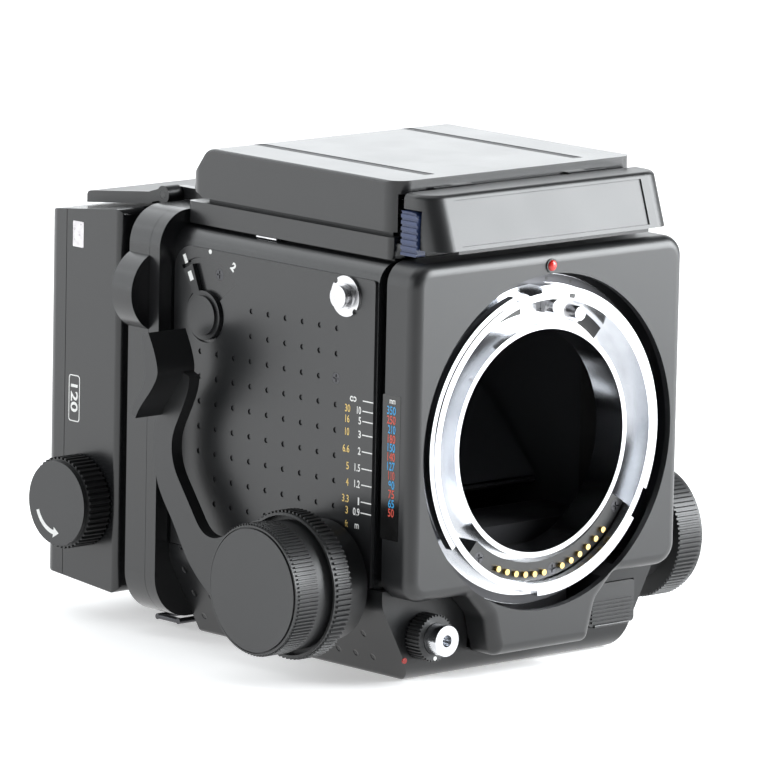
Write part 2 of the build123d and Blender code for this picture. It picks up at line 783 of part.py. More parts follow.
def rail_guides():
    """Channels in the base housing that the two focusing rails slide in."""
    low = BASE_WALL
    floor = RAIL_FLOOR - GUIDE_FLOOR_GAP
    near = RAIL_X - RAIL_W / 2 - GUIDE_SIDE_GAP
    far = RAIL_X + RAIL_W / 2 + GUIDE_SIDE_GAP
    front = FRAME_BACK + 0.4
    foot = BASE_FOOT_FRONT + BASE_WALL

    def channel(side):
        x = sorted((side * (near - GUIDE_LIP), side * (far + GUIDE_LIP)))
        piece = block(x[0], x[1], foot, GUIDE_REAR, low, GUIDE_LIP_Z)
        piece += block(x[0], x[1], front, foot, BASE_LIP_Z + 4, GUIDE_LIP_Z)
        groove = sorted((side * near, side * far))
        return piece - block(groove[0], groove[1], front, GUIDE_REAR, floor, GUIDE_LIP_Z)

    return both_sides(channel)


def battery():
    cell = rod_y(BATTERY_X, BATTERY_Z, BATTERY_R, BATTERY_FRONT, BATTERY_FRONT + BATTERY_L - 1)
    return cell + rod_y(BATTERY_X, BATTERY_Z, 2.5, BATTERY_FRONT + BATTERY_L - 1, BATTERY_FRONT + BATTERY_L)


def battery_cradle():
    """Trough under the cell, with the spring contact at its end."""
    end = BATTERY_FRONT + BATTERY_L
    base = BASE_WALL
    trough = block(BATTERY_X - 5, BATTERY_X - 5 + 7, BASE_FOOT_FRONT, end + 1.2, base - 0.5, BATTERY_Z - 1)
    trough -= rod_y(BATTERY_X, BATTERY_Z, BATTERY_R + FIT, BASE_FOOT_FRONT, end)
    return trough + block(BATTERY_X - 5, BATTERY_X + 2, end + 0.2, end + 1.2, base, BATTERY_Z + 5)


# Right side

def accessory_shoe():
    """Slotted shoe for a flash bracket, open at its upper end."""
    x0 = PANEL_X
    half = SHOE_W / 2
    outer = half + SHOE_T
    z0 = SHOE_Z - SHOE_LEN / 2
    z1 = SHOE_Z + SHOE_LEN / 2
    top = x0 + SHOE_T + SHOE_GAP
    shoe = block(x0, x0 + SHOE_T, SHOE_Y - outer, SHOE_Y + outer, z0, z1)
    for side in (-1, 1):
        wall = sorted((SHOE_Y + side * half, SHOE_Y + side * outer))
        lip = sorted((SHOE_Y + side * (half - SHOE_LIP), SHOE_Y + side * outer))
        shoe += block(x0, top + SHOE_T, wall[0], wall[1], z0, z1)
        shoe += block(top, top + SHOE_T, lip[0], lip[1], z0, z1)
    return shoe


def sync_terminal():
    """Round flash socket on the right side."""
    piece = rod_x(SYNC_Y, SYNC_Z, SYNC_R, PANEL_X, PANEL_X + SYNC_T)
    return piece - rod_x(SYNC_Y, SYNC_Z, SYNC_HOLE_R, PANEL_X + 0.6, PANEL_X + SYNC_T)


def shutter_dial():
    """Knurled shutter speed dial on a short pivot."""
    plane = Plane(origin=(PANEL_X + 0.3, 0, 0), x_dir=(0, 1, 0), z_dir=(1, 0, 0))
    dial = extrude(plane * (Pos(DIAL_Y, DIAL_Z) * knurled(DIAL_R, KNURL_DEPTH, 40)), amount=DIAL_T)
    return dial + rod_x(DIAL_Y, DIAL_Z, DIAL_R - 1.2, PANEL_X + 0.3 + DIAL_T, PANEL_X + 1.1 + DIAL_T)


def focus_lock():
    """Lever ring round the right knob's hub that clamps the focus."""
    x0 = PANEL_X + SHAFT_BUSH_LIP + 0.3
    ring = Pos(KNOB_Y, KNOB_Z) * Circle(LOCK_R)
    arm = Pos(KNOB_Y, KNOB_Z) * Rot(0, 0, 40) * Pos(LOCK_ARM / 2, 0) * RectangleRounded(LOCK_ARM, 7, 3)
    lever = along_x(ring + arm, x0, x0 + LOCK_T)
    tip_y = KNOB_Y + (LOCK_ARM - 3.5) * cos(radians(40))
    tip_z = KNOB_Z + (LOCK_ARM - 3.5) * sin(radians(40))
    lever += rod_x(tip_y, tip_z, 2.6, x0 + LOCK_T, x0 + LOCK_T + 2.4)
    return lever - rod_x(KNOB_Y, KNOB_Z, SHAFT_R + FIT, x0, x0 + LOCK_T)


# Front standard

def front_outline(inset):
    """Front panel with its apron, in (X, Z), drawn in by a wall."""
    half = FRONT_HALF - inset
    low = FRONT_LOW + inset
    wide = APRON_WIDE - inset
    waist = APRON_WAIST - inset
    foot = APRON_FOOT - inset
    r = FRONT_CORNER_R - inset
    corner = max(r, 1.0)
    points = [(-half, FRONT_TOP - inset), (half, FRONT_TOP - inset), (half, low), (wide, low),
              (waist, APRON_WAIST_Z), (foot, APRON_Z + inset), (-foot, APRON_Z + inset),
              (-waist, APRON_WAIST_Z), (-wide, low), (-half, low)]
    return rounded(points, [corner, corner, corner, 3.0, 4.0, 2.0, 2.0, 4.0, 3.0, corner])


def front_panel():
    """Moulded cover of the front standard, open behind, with the round lens recess."""
    panel = along_y(front_outline(0), FRONT_Y, FRONT_BACK)
    edges = panel.faces().sort_by(Axis.Y)[0].edges()
    panel = fillet(edges, FRONT_EDGE_R)
    panel -= along_y(front_outline(FRONT_SKIN), FRONT_Y + FRONT_SKIN, FRONT_BACK)
    panel -= rod_y(0, LENS_Z, RECESS_R, FRONT_Y, FRONT_BACK)
    base = BASE_FRONT - SEAM_GAP
    return panel - block(-FRONT_HALF, FRONT_HALF, base, FRONT_BACK, APRON_Z, SEAM_Z + SEAM_GAP)


def bayonet_ring():
    """Bright outer ring of the lens mount, with its flange and lugs."""
    ring = rod_y(0, LENS_Z, FLANGE_R, FLANGE_FRONT, MOUNT_FLOOR)
    ring += rod_y(0, LENS_Z, RING_R, RING_FRONT, FLANGE_FRONT)
    ring -= rod_y(0, LENS_Z, RING_BORE_R, RING_FRONT, MOUNT_FLOOR)
    lugs = rod_y(0, LENS_Z, LUG_R, LUG_FRONT, LUG_FRONT + LUG_T)
    lugs -= rod_y(0, LENS_Z, RING_R - 0.1, LUG_FRONT, LUG_FRONT + LUG_T)
    for start, end in LUG_GAPS:
        first, last = sorted((start, end))
        lugs -= along_y(sector(RING_R, LUG_R + 1, first, last), LUG_FRONT, LUG_FRONT + LUG_T)
    return ring + lugs


def throat_tube():
    """Tube round the light's way, standing on the mount's floor."""
    tube = rod_y(0, LENS_Z, THROAT_R, THROAT_FRONT, MOUNT_FLOOR)
    return tube - rod_y(0, LENS_Z, THROAT_BORE_R, THROAT_FRONT, MOUNT_FLOOR)


def mount_floor():
    """Floor of the lens mount behind the ring, with its collar in the standard."""
    plate = rod_y(0, LENS_Z, FLANGE_R, MOUNT_FLOOR, FLANGE_BACK)
    plate += rod_y(0, LENS_Z, THROAT_R, FLANGE_BACK, FRAME_BACK)
    plate -= rod_y(0, LENS_Z, THROAT_BORE_R, MOUNT_FLOOR, FRAME_BACK)
    for angle in MOUNT_SCREW_ANGLES:
        x, z = on_mount(PIN_CIRCLE_R, angle)
        plate -= rod_y(x, z, MOUNT_SCREW_R / 2, MOUNT_FLOOR, FLANGE_BACK)
    return plate


def mount_ring():
    return [bayonet_ring(), throat_tube(), mount_floor()]


def on_mount(r, angle):
    """A point in (X, Z) on a circle about the lens axis; the angle runs from straight down towards +X."""
    return r * sin(radians(angle)), LENS_Z - r * cos(radians(angle))


def pin_angles():
    return [first + PIN_STEP * k for first in PIN_GROUP_STARTS for k in range(PIN_COUNT)]


def contact_block():
    """Black insulator that carries the contact pins."""
    piece = along_y(sector(BLOCK_IN_R, BLOCK_OUT_R, BLOCK_FROM - 90, BLOCK_TO - 90), BLOCK_FRONT, MOUNT_FLOOR)
    for angle in pin_angles():
        x, z = on_mount(PIN_CIRCLE_R, angle)
        piece -= rod_y(x, z, PIN_R + FIT / 2, BLOCK_FRONT, MOUNT_FLOOR)
    for angle in MOUNT_SCREW_ANGLES:
        x, z = on_mount(PIN_CIRCLE_R, angle)
        piece -= rod_y(x, z, MOUNT_SCREW_R + FIT, BLOCK_FRONT, BLOCK_FRONT + 1)
        piece -= rod_y(x, z, MOUNT_SCREW_R / 2, BLOCK_FRONT, MOUNT_FLOOR)
    return piece


def contact_pins():
    pieces = []
    for angle in pin_angles():
        x, z = on_mount(PIN_CIRCLE_R, angle)
        pieces.append(rod_y(x, z, PIN_R, BLOCK_FRONT - PIN_TIP, MOUNT_FLOOR))
    return pieces


def mount_screws():
    """Cross-head screws that hold the contact block and the mount."""
    pieces = []
    for angle in MOUNT_SCREW_ANGLES:
        x, z = on_mount(PIN_CIRCLE_R, angle)
        screw = rod_y(x, z, MOUNT_SCREW_R, BLOCK_FRONT, BLOCK_FRONT + 1)
        screw += rod_y(x, z, MOUNT_SCREW_R / 2 - FIT, BLOCK_FRONT + 1, FLANGE_BACK)
        reach = MOUNT_SCREW_R * 0.7
        screw -= block(x - reach, x + reach, BLOCK_FRONT, BLOCK_FRONT + 0.5, z - 0.2, z + 0.2)
        screw -= block(x - 0.2, x + 0.2, BLOCK_FRONT, BLOCK_FRONT + 0.5, z - reach, z + reach)
        pieces.append(screw)
    return pieces


def cocking_ring():
    """Segment on the mount floor with the roller that winds the lens."""
    back = MOUNT_FLOOR - 0.1
    piece = along_y(sector(COCK_IN_R, COCK_OUT_R, COCK_FROM, COCK_TO), back - COCK_T, back)
    middle = (COCK_IN_R + COCK_OUT_R) / 2
    for angle in (COCK_FROM + 4, COCK_TO - 4):
        a = radians(angle)
        piece += rod_y(middle * cos(a), LENS_Z + middle * sin(a), COCK_ROLLER_R, back - COCK_T - 2.4, back - COCK_T)
    return piece


def standard_frame():
    """Plate behind the mount, with the tongue that the rails are bolted to."""
    plate = along_y(plate_xz(-FRAME_HALF, FRAME_HALF, FRAME_LOW, FRAME_HIGH, 3.0), FLANGE_BACK, FRAME_BACK)
    plate += block(-TONGUE_HALF, TONGUE_HALF, FLANGE_BACK, FRAME_BACK, TONGUE_Z, FRAME_LOW + 1)
    return plate - rod_y(0, LENS_Z, THROAT_R + FIT, FLANGE_BACK, FRAME_BACK)


def rack_outline():
    """A rail's side view in (Y, Z): rack teeth on its upper edge."""
    pitch = pi * TOOTH_MODULE
    tip = RACK_PITCH_Z + 0.6 * TOOTH_MODULE
    root = RACK_PITCH_Z - 1.1 * TOOTH_MODULE
    points = [(FRAME_BACK, RAIL_FLOOR), (RAIL_REAR, RAIL_FLOOR), (RAIL_REAR, root)]
    first = int((FRAME_BACK - KNOB_Y) / pitch) - 1
    last = int((RAIL_REAR - KNOB_Y) / pitch) + 1
    for k in range(last, first, -1):
        y = KNOB_Y + (k + 0.5) * pitch
        if FRAME_BACK + 1 < y < RAIL_REAR - 1:
            points += [(y + 0.24 * pitch, root), (y + 0.1 * pitch, tip)]
            points += [(y - 0.1 * pitch, tip), (y - 0.24 * pitch, root)]
    points.append((FRAME_BACK, root))
    return polygon(points)


def rack_rails():
    """Two rails with rack teeth, in mesh with the pinions."""

    def rail(side):
        middle = side * RAIL_X
        return along_x(rack_outline(), middle - RAIL_W / 2, middle + RAIL_W / 2)

    return both_sides(rail)


def bellows():
    """Folded bellows, drawn here as the closed frame that it fills when shut."""
    front = FRAME_BACK + BELLOWS_GAP
    rear = BOX_FRONT - BELLOWS_GAP
    outer = plate_xz(-BELLOWS_HALF, BELLOWS_HALF, LENS_Z - BELLOWS_HALF, LENS_Z + BELLOWS_HALF, 3.0)
    inner = plate_xz(-BELLOWS_IN, BELLOWS_IN, LENS_Z - BELLOWS_IN, LENS_Z + BELLOWS_IN, 2.0)
    return along_y(outer - inner, front, rear)


# Focusing drive

def pinion_section():
    """Gear section in (Y, Z) with one tooth pointing straight down."""
    tip = PINION_R + 0.6 * TOOTH_MODULE
    root = PINION_R - 1.1 * TOOTH_MODULE
    points = []
    for k in range(PINION_TEETH):
        middle = -90 + 360 / PINION_TEETH * k
        for turn, r in ((-5.0, root), (-1.8, tip), (1.8, tip), (5.0, root)):
            a = radians(middle + turn)
            points.append((KNOB_Y + r * cos(a), KNOB_Z + r * sin(a)))
    return polygon(points)


def focus_shaft():
    """Cross shaft with its two pinions."""
    shaft = rod_x(KNOB_Y, KNOB_Z, SHAFT_R, -FINE_IN - SHAFT_HOLD, RIGHT_KNOB_OUT - 1)
    for side in (-1, 1):
        shaft += along_x(pinion_section(), side * RAIL_X - PINION_W / 2, side * RAIL_X + PINION_W / 2)
    return shaft


def knob_section(r, count):
    return Pos(KNOB_Y, KNOB_Z) * knurled(r, KNURL_DEPTH, count)


def coarse_ring():
    """Coarse focusing ring, outside the cocking lever, with the cup that takes the fine knob's neck."""
    edge = COARSE_OUT - FINE_EDGE
    ring = along_x(knob_section(COARSE_R, COARSE_KNURLS), -edge, -COARSE_IN)
    ring += rod_x(KNOB_Y, KNOB_Z, COARSE_R - KNURL_DEPTH, -COARSE_OUT, -edge)
    ring -= rod_x(KNOB_Y, KNOB_Z, CUP_R, -COARSE_OUT, -COARSE_OUT + CUP_DEPTH)
    return ring - rod_x(KNOB_Y, KNOB_Z, SHAFT_R, -COARSE_OUT, -COARSE_IN)


def right_focus_knob():
    edge = RIGHT_KNOB_OUT - 1
    knob = rod_x(KNOB_Y, KNOB_Z, RIGHT_HUB_R, RIGHT_HUB_IN, RIGHT_KNOB_IN)
    knob += along_x(knob_section(RIGHT_KNOB_R, COARSE_KNURLS), RIGHT_KNOB_IN, edge)
    knob += rod_x(KNOB_Y, KNOB_Z, RIGHT_KNOB_R - KNURL_DEPTH, edge, RIGHT_KNOB_OUT)
    return knob - rod_x(KNOB_Y, KNOB_Z, SHAFT_R, RIGHT_HUB_IN, edge)


def fine_knob():
    """Fine focusing knob, outermost on the left: smooth neck, fine grip and a cap in a narrow groove."""
    face = -FINE_OUT
    knob = rod_x(KNOB_Y, KNOB_Z, NECK_R, face, -FINE_IN)
    knob += along_x(knob_section(FINE_R, FINE_KNURLS), face + FINE_EDGE, -FINE_GRIP_IN)
    knob -= rod_x(KNOB_Y, KNOB_Z, FINE_CAP_R + FINE_GROOVE, face, face + FINE_GROOVE)
    knob += rod_x(KNOB_Y, KNOB_Z, FINE_CAP_R, face - FINE_CAP_T, face + FINE_GROOVE)
    return knob - rod_x(KNOB_Y, KNOB_Z, SHAFT_R + FIT, -FINE_IN - SHAFT_HOLD - FIT, -FINE_IN)


def from_knob(points):
    """Points measured from the focusing shaft, placed in (Y, Z)."""
    return [(KNOB_Y + y, KNOB_Z + z) for y, z in points]


def lever_arm_outline():
    """Curved arm of the cocking lever in (Y, Z), from its hub up to the thumb tab."""
    front = from_knob(LEVER_FRONT_EDGE)
    rear = from_knob(LEVER_REAR_EDGE)
    top = from_knob(LEVER_TOP)
    close_high = Polyline(front[-1], *top, rear[0])
    close_low = Line(rear[-1], front[0])
    return make_face(Curve() + [Spline(*front), close_high, Spline(*rear), close_low])


def lever_tab_outline():
    """S-curved thumb tab of the cocking lever, in (Y, Z)."""
    front = from_knob(TAB_FRONT_FACE)
    rear = from_knob(TAB_REAR_FACE)
    ends = [Line(front[-1], rear[0]), Line(rear[-1], front[0])]
    return make_face(Curve() + [Spline(*front), ends[0], Spline(*rear), ends[1]])


def cocking_lever():
    """Lever that winds the film, mirror and shutter: hub on the focusing shaft, arm and thumb tab."""
    lever = rod_x(KNOB_Y, KNOB_Z, LEVER_HUB_R, -LEVER_OUT, -LEVER_IN)
    lever += along_x(lever_arm_outline(), -LEVER_OUT, -LEVER_OUT + LEVER_T)
    lever += along_x(lever_tab_outline(), -TAB_OUT, -TAB_IN)
    return lever - rod_x(KNOB_Y, KNOB_Z, SHAFT_R + FIT, -LEVER_OUT, -LEVER_IN)


def selector_lever():
    """Pointer that picks normal, revolving or multiple exposure working."""
    x1 = -BODY_HALF - 0.1
    x0 = x1 - SELECTOR_T
    reach = SELECTOR_TIP
    lean = radians(SELECTOR_REST)

    def at(r, turn):
        a = lean + radians(turn)
        return SELECTOR_Y + r * sin(a), SELECTOR_Z + r * cos(a)

    pointer = polygon([at(SELECTOR_R - 1, -13), at(reach, -8), at(reach, 8), at(SELECTOR_R - 1, 13)])
    lever = along_x(pointer + Pos(SELECTOR_Y, SELECTOR_Z) * Circle(SELECTOR_R), x0, x1)
    lever += rod_x(SELECTOR_Y, SELECTOR_Z, SELECTOR_CAP_R, x0 - 0.7, x0)
    return lever + rod_x(SELECTOR_Y, SELECTOR_Z, SELECTOR_PIN_R, x1, x1 + BODY_WALL)


# Release and battery

def release_button():
    back = BASE_FRONT + BASE_WALL + 0.6
    button = rod_y(RELEASE_X, RELEASE_Z, RELEASE_R, RELEASE_FRONT, back)
    return button - rod_y(RELEASE_X, RELEASE_Z, CABLE_R, RELEASE_FRONT, RELEASE_FRONT + CABLE_DEPTH)


def release_collar():
    """Knurled lock collar round the release button."""
    ring = Pos(RELEASE_X, RELEASE_Z) * knurled(COLLAR_R, 0.5, 36)
    collar = along_y(ring, COLLAR_FRONT, BASE_FRONT - 0.1)
    return collar - rod_y(RELEASE_X, RELEASE_Z, RELEASE_R + RELEASE_GAP, COLLAR_FRONT, BASE_FRONT - 0.1)


def release_spring():
    """Return spring of the release button, closed up as a sleeve."""
    front = BASE_FRONT + BASE_WALL + 0.8
    spring = rod_y(RELEASE_X, RELEASE_Z, SPRING_R, front, front + SPRING_L)
    return spring - rod_y(RELEASE_X, RELEASE_Z, SPRING_R - SPRING_WIRE, front, front + SPRING_L)


def battery_door():
    """Cover of the battery chamber, hinged along its lower edge, with grip ridges."""
    front = BASE_FRONT - DOOR_PROUD
    door = along_y(plate_xz(DOOR_X0, DOOR_X1, DOOR_Z0, DOOR_Z1, 1.2), front, front + DOOR_T)
    step = (GRIP_Z1 - GRIP_Z0) / GRIP_RIDGES
    for k in range(GRIP_RIDGES):
        z = GRIP_Z0 + step * k
        door += block(GRIP_X0, GRIP_X1, front - GRIP_H, front, z + 0.2, z + 0.2 + step / 2)
    return door + rod_x(front, DOOR_Z0, DOOR_BARREL_R, DOOR_X0 + DOOR_T, DOOR_X1 - DOOR_T)


# Finder

def hood_outline(inset):
    """Side view of the finder lid in (Y, Z), drawn in by a wall; its rear flares, then slants up."""
    low = HOOD_SEAM_Z + LID_SEAM
    corner = max(HOOD_EDGE_R, inset / 3)
    return rounded([(HOOD_FRONT + inset, low), (HOOD_FOOT_REAR - inset, low), (HOOD_REAR - 1.1 * inset, HOOD_SLANT_Z),
                    (HOOD_SHOULDER_Y - 0.8 * inset, HOOD_TOP - inset), (HOOD_FRONT + inset, HOOD_TOP - inset)],
                   [0, 0, corner, HOOD_SHOULDER_R, 0])


def finder_plan(half, front, rear, r):
    """Plan of the finder in (X, Y), with rounded corners."""
    return Pos(0, (front + rear) / 2) * RectangleRounded(2 * half, rear - front, r)


def finder_base():
    """Frame of the waist level finder: outer wall, inner rim for the leaves and the hinge upright."""
    foot = FINDER_FOOT_INSET
    low = BODY_TOP + FINDER_SEAM
    base = along_z(finder_plan(FINDER_BASE_HALF, HOOD_FRONT, FINDER_BASE_REAR, FINDER_BASE_R), low, HOOD_SEAM_Z)
    base += block(-FINDER_BASE_HALF + 2 * foot, FINDER_BASE_HALF - 2 * foot, HOOD_FRONT + foot,
                  FINDER_BASE_REAR - foot, BODY_TOP, low)
    rim_out_y0 = HOOD_FRONT + HOOD_WALL + RIM_GAP
    y1 = REAR_AXIS_Y - RIM_T / 2
    x1 = RIM_OUT - RIM_T
    base -= block(-x1, x1, rim_out_y0 + RIM_T, y1, BODY_TOP, HOOD_SEAM_Z)
    over_screen = BODY_TOP - SCREEN_SINK + SCREEN_T + SEAM_GAP
    base -= block(-x1, x1, rim_out_y0 + RIM_T, SCREEN_Y + SEAM_GAP, BODY_TOP, over_screen)
    for side in (-1, 1):
        rim = sorted((side * (RIM_OUT - RIM_T), side * RIM_OUT))
        base += block(rim[0], rim[1], SIDE_LEAF_FRONT - EAR_W - 0.2, SIDE_LEAF_REAR + EAR_W + 0.2,
                      BODY_TOP + 2, RIM_SIDE_TOP)
        for y in (SIDE_LEAF_FRONT - EAR_W - 0.2, SIDE_LEAF_REAR + 0.2):
            ear = block(rim[0], rim[1], y, y + EAR_W, RIM_SIDE_TOP, SIDE_AXIS_Z + 1.0)
            base += ear - rod_y(side * SIDE_AXIS_X, SIDE_AXIS_Z, LEAF_PIN_R + FIT, y, y + EAR_W)
    base += block(-REAR_LEAF_HALF - 3, REAR_LEAF_HALF + 3, REAR_AXIS_Y - RIM_T / 2, REAR_AXIS_Y + RIM_T / 2,
                  BODY_TOP + 2, RIM_REAR_TOP)
    for x in (-REAR_LEAF_HALF - EAR_W - 0.2, REAR_LEAF_HALF + 0.2):
        ear = block(x, x + EAR_W, REAR_AXIS_Y - RIM_T / 2, REAR_AXIS_Y + RIM_T / 2, RIM_REAR_TOP, REAR_AXIS_Z + 0.8)
        base += ear - rod_x(REAR_AXIS_Y, REAR_AXIS_Z, LEAF_PIN_R + FIT, x, x + EAR_W)
    base += block(-x1, x1, rim_out_y0, rim_out_y0 + RIM_T, BODY_TOP + 2, RIM_REAR_TOP)
    base += block(-UPRIGHT_HALF, UPRIGHT_HALF, UPRIGHT_FRONT, HOOD_FRONT + 1, low, HOOD_SEAM_Z)
    base += block(-UPRIGHT_HALF, UPRIGHT_HALF, UPRIGHT_FRONT, UPRIGHT_BACK, low, UPRIGHT_TOP)
    lug_x = LID_LUG_X + LID_LUG_W + 0.1
    for side in (-1, 1):
        x = sorted((side * lug_x, side * (lug_x + LID_LUG_W)))
        base += rod_x(LID_AXIS_Y, LID_AXIS_Z, LID_LUG_R, x[0], x[1])
        base += block(x[0], x[1], LID_AXIS_Y - LID_LUG_R, LID_AXIS_Y + LID_LUG_R - 0.2, UPRIGHT_TOP, LID_AXIS_Z)
    return base + rod_x(LID_AXIS_Y, LID_AXIS_Z, LID_PIN_R, -lug_x, lug_x)


def hood_lid():
    """Folding top cover of the finder, hinged at its front."""
    wide = HOOD_HALF
    lid = along_x(hood_outline(0), -wide, wide)
    sides = [e for e in lid.edges() if abs(abs(e.center().X) - wide) < 0.01 and e.center().Z > HOOD_SLANT_Z + 2]
    lid = fillet(sides, HOOD_EDGE_R)
    lid = lid & along_z(finder_plan(wide, HOOD_FRONT, HOOD_REAR, HOOD_CORNER_R), HOOD_SEAM_Z, HOOD_TOP)
    wall = HOOD_WALL
    room = along_z(finder_plan(wide - wall, HOOD_FRONT + wall, HOOD_REAR - wall, HOOD_INNER_R),
                   HOOD_SEAM_Z, HOOD_TOP)
    lid -= room & along_x(hood_outline(wall), -wide, wide)
    mouth = RIM_OUT + RIM_GAP / 2
    lid -= block(-mouth, mouth, HOOD_FRONT, HOOD_FRONT + HOOD_CORNER_R, HOOD_SEAM_Z, HOOD_MOUTH_Z)
    for side in (-1, 1):
        x = side * GROOVE_X
        lid -= block(x - GROOVE_W / 2, x + GROOVE_W / 2, GROOVE_FRONT, GROOVE_REAR, HOOD_TOP - GROOVE_DEPTH, HOOD_TOP)
        lug = sorted((side * LID_LUG_X, side * (LID_LUG_X + LID_LUG_W)))
        lid += rod_x(LID_AXIS_Y, LID_AXIS_Z, LID_LUG_R, lug[0], lug[1])
        lid += block(lug[0], lug[1], LID_AXIS_Y, HOOD_FRONT + 0.2, LID_AXIS_Z, LID_AXIS_Z + LID_LUG_R)
        lid -= rod_x(LID_AXIS_Y, LID_AXIS_Z, LID_PIN_R + FIT, lug[0], lug[1])
        ear = sorted((side * (LOUPE_HALF + 0.2), side * (LOUPE_HALF + 2.0)))
        pivot_y = LID_AXIS_Y + LOUPE_ARM
        lid += block(ear[0], ear[1], pivot_y - 1.2, pivot_y + 1.2, LOUPE_Z - 1.2, HOOD_TOP - HOOD_WALL + 0.2)
        lid -= rod_x(pivot_y, LOUPE_Z, LEAF_PIN_R + FIT, ear[0], ear[1])
    return lid


def side_leaf(side):
    """Side wall of the finder, folded flat over the focusing screen."""
    reach = SIDE_AXIS_X - 0.4
    y_cut = LID_AXIS_Y + reach + 1.0
    inner = SIDE_AXIS_X - reach
    start = SIDE_AXIS_X - (SIDE_LEAF_FRONT - LID_AXIS_Y - 1.0)
    outline = polygon([(side * SIDE_AXIS_X, SIDE_LEAF_FRONT), (side * start, SIDE_LEAF_FRONT), (side * inner, y_cut),
                       (side * inner, SIDE_LEAF_REAR), (side * SIDE_AXIS_X, SIDE_LEAF_REAR)])
    leaf = along_z(outline, SIDE_AXIS_Z - LEAF_T / 2, SIDE_AXIS_Z + LEAF_T / 2)
    leaf += rod_y(side * SIDE_AXIS_X, SIDE_AXIS_Z, LEAF_BARREL_R, SIDE_LEAF_FRONT, SIDE_LEAF_REAR)
    pin_end = EAR_W
    pin = rod_y(side * SIDE_AXIS_X, SIDE_AXIS_Z, LEAF_PIN_R, SIDE_LEAF_FRONT - pin_end, SIDE_LEAF_REAR + pin_end)
    return leaf + pin


def rear_leaf():
    """Rear wall of the finder, folded flat under the side leaves."""
    y = REAR_AXIS_Y
    tip = REAR_LEAF_HALF - REAR_LEAF_LEN + 3
    outline = polygon([(-REAR_LEAF_HALF, y), (-REAR_LEAF_HALF, y - 2), (-tip, y - REAR_LEAF_LEN),
                       (tip, y - REAR_LEAF_LEN), (REAR_LEAF_HALF, y - 2), (REAR_LEAF_HALF, y)])
    leaf = along_z(outline, REAR_AXIS_Z - LEAF_T / 2, REAR_AXIS_Z + LEAF_T / 2)
    leaf += rod_x(y, REAR_AXIS_Z, LEAF_T / 2 + 0.2, -REAR_LEAF_HALF, REAR_LEAF_HALF)
    return leaf + rod_x(y, REAR_AXIS_Z, LEAF_PIN_R, -REAR_LEAF_HALF - EAR_W, REAR_LEAF_HALF + EAR_W)


def loupe_frame():
    """Frame of the folding magnifier."""
    y0 = LID_AXIS_Y + LOUPE_ARM
    middle = y0 + LOUPE_LEN / 2 + 2
    frame = block(-LOUPE_HALF, LOUPE_HALF, y0, y0 + LOUPE_LEN, LOUPE_Z - LOUPE_T / 2, LOUPE_Z + LOUPE_T / 2)
    frame += rod_x(y0, LOUPE_Z, 1.0, -LOUPE_HALF, LOUPE_HALF)
    frame += rod_x(y0, LOUPE_Z, LEAF_PIN_R, -LOUPE_HALF - 1.8, LOUPE_HALF + 1.8)
    return frame - rod_z(0, middle, LOUPE_LENS_R, LOUPE_Z - LOUPE_T, LOUPE_Z + LOUPE_T)


def loupe_lens():
    middle = LID_AXIS_Y + LOUPE_ARM + LOUPE_LEN / 2 + 2
    return rod_z(0, middle, LOUPE_LENS_R - FIT, LOUPE_Z - LOUPE_T / 2, LOUPE_Z + LOUPE_T / 2)


def nameplate_block():
    """Housing over the mount with a slanting face for the nameplate, left bare."""
    def face_y(z):
        share = (z - PLATE_LOW) / (PLATE_HIGH - PLATE_LOW)
        return PLATE_LOW_Y + (PLATE_HIGH_Y - PLATE_LOW_Y) * share

    side = polygon([(UPRIGHT_FRONT, PLATE_LOW), (PLATE_LOW_Y, PLATE_LOW), (PLATE_HIGH_Y, PLATE_HIGH),
                    (UPRIGHT_FRONT, PLATE_HIGH)])
    housing = along_x(side, -PLATE_HALF, PLATE_HALF)
    middle = (PLATE_LOW + PLATE_HIGH) / 2
    slanting = [e for e in housing.edges() if abs(e.center().Z - middle) < 0.1 and e.center().Y < UPRIGHT_FRONT - 1]
    housing = fillet(slanting, PLATE_CORNER_R)
    top = [e for e in housing.edges() if abs(e.center().Z - PLATE_HIGH) < 0.01 and e.center().Y < UPRIGHT_FRONT - 0.1]
    housing = fillet(top, PLATE_TOP_R)
    inset = PLATE_INSET_DEPTH
    pocket = polygon([(face_y(PLATE_INSET_LOW) + inset, PLATE_INSET_LOW), (face_y(PLATE_INSET_LOW) - 2, PLATE_INSET_LOW),
                      (face_y(PLATE_INSET_HIGH) - 2, PLATE_INSET_HIGH),
                      (face_y(PLATE_INSET_HIGH) + inset, PLATE_INSET_HIGH)])
    housing -= along_x(pocket, -PLATE_INSET_HALF, PLATE_INSET_HALF)
    housing += block(-PLATE_LIP_HALF, PLATE_LIP_HALF, PLATE_LIP_Y, UPRIGHT_FRONT, PLATE_LIP_Z, PLATE_LOW + 1)
    return housing - block(-PLATE_HALF - 1, CATCH_X1 + 0.1, CATCH_Y0 - 0.3, UPRIGHT_FRONT, PLATE_LOW, CATCH_Z1 + 0.4)


def finder_catch():
    """Ridged slide that frees the finder, rounded on top."""
    side = rounded([(CATCH_Y0, CATCH_Z0), (CATCH_Y1 - 0.1, CATCH_Z0), (CATCH_Y1 - 0.1, CATCH_Z1), (CATCH_Y0, CATCH_Z1)],
                   [0.4, 0, 0, CATCH_TOP_R])
    piece = along_x(side, CATCH_X0, CATCH_X1)
    step = (CATCH_Z1 - CATCH_Z0) / CATCH_RIDGES
    for k in range(CATCH_RIDGES):
        z = CATCH_Z0 + step * (k + 0.5)
        piece -= block(CATCH_X0, CATCH_X0 + 0.4, CATCH_Y0, CATCH_Y1, z, z + step / 2.4)
    return piece


# Mirror

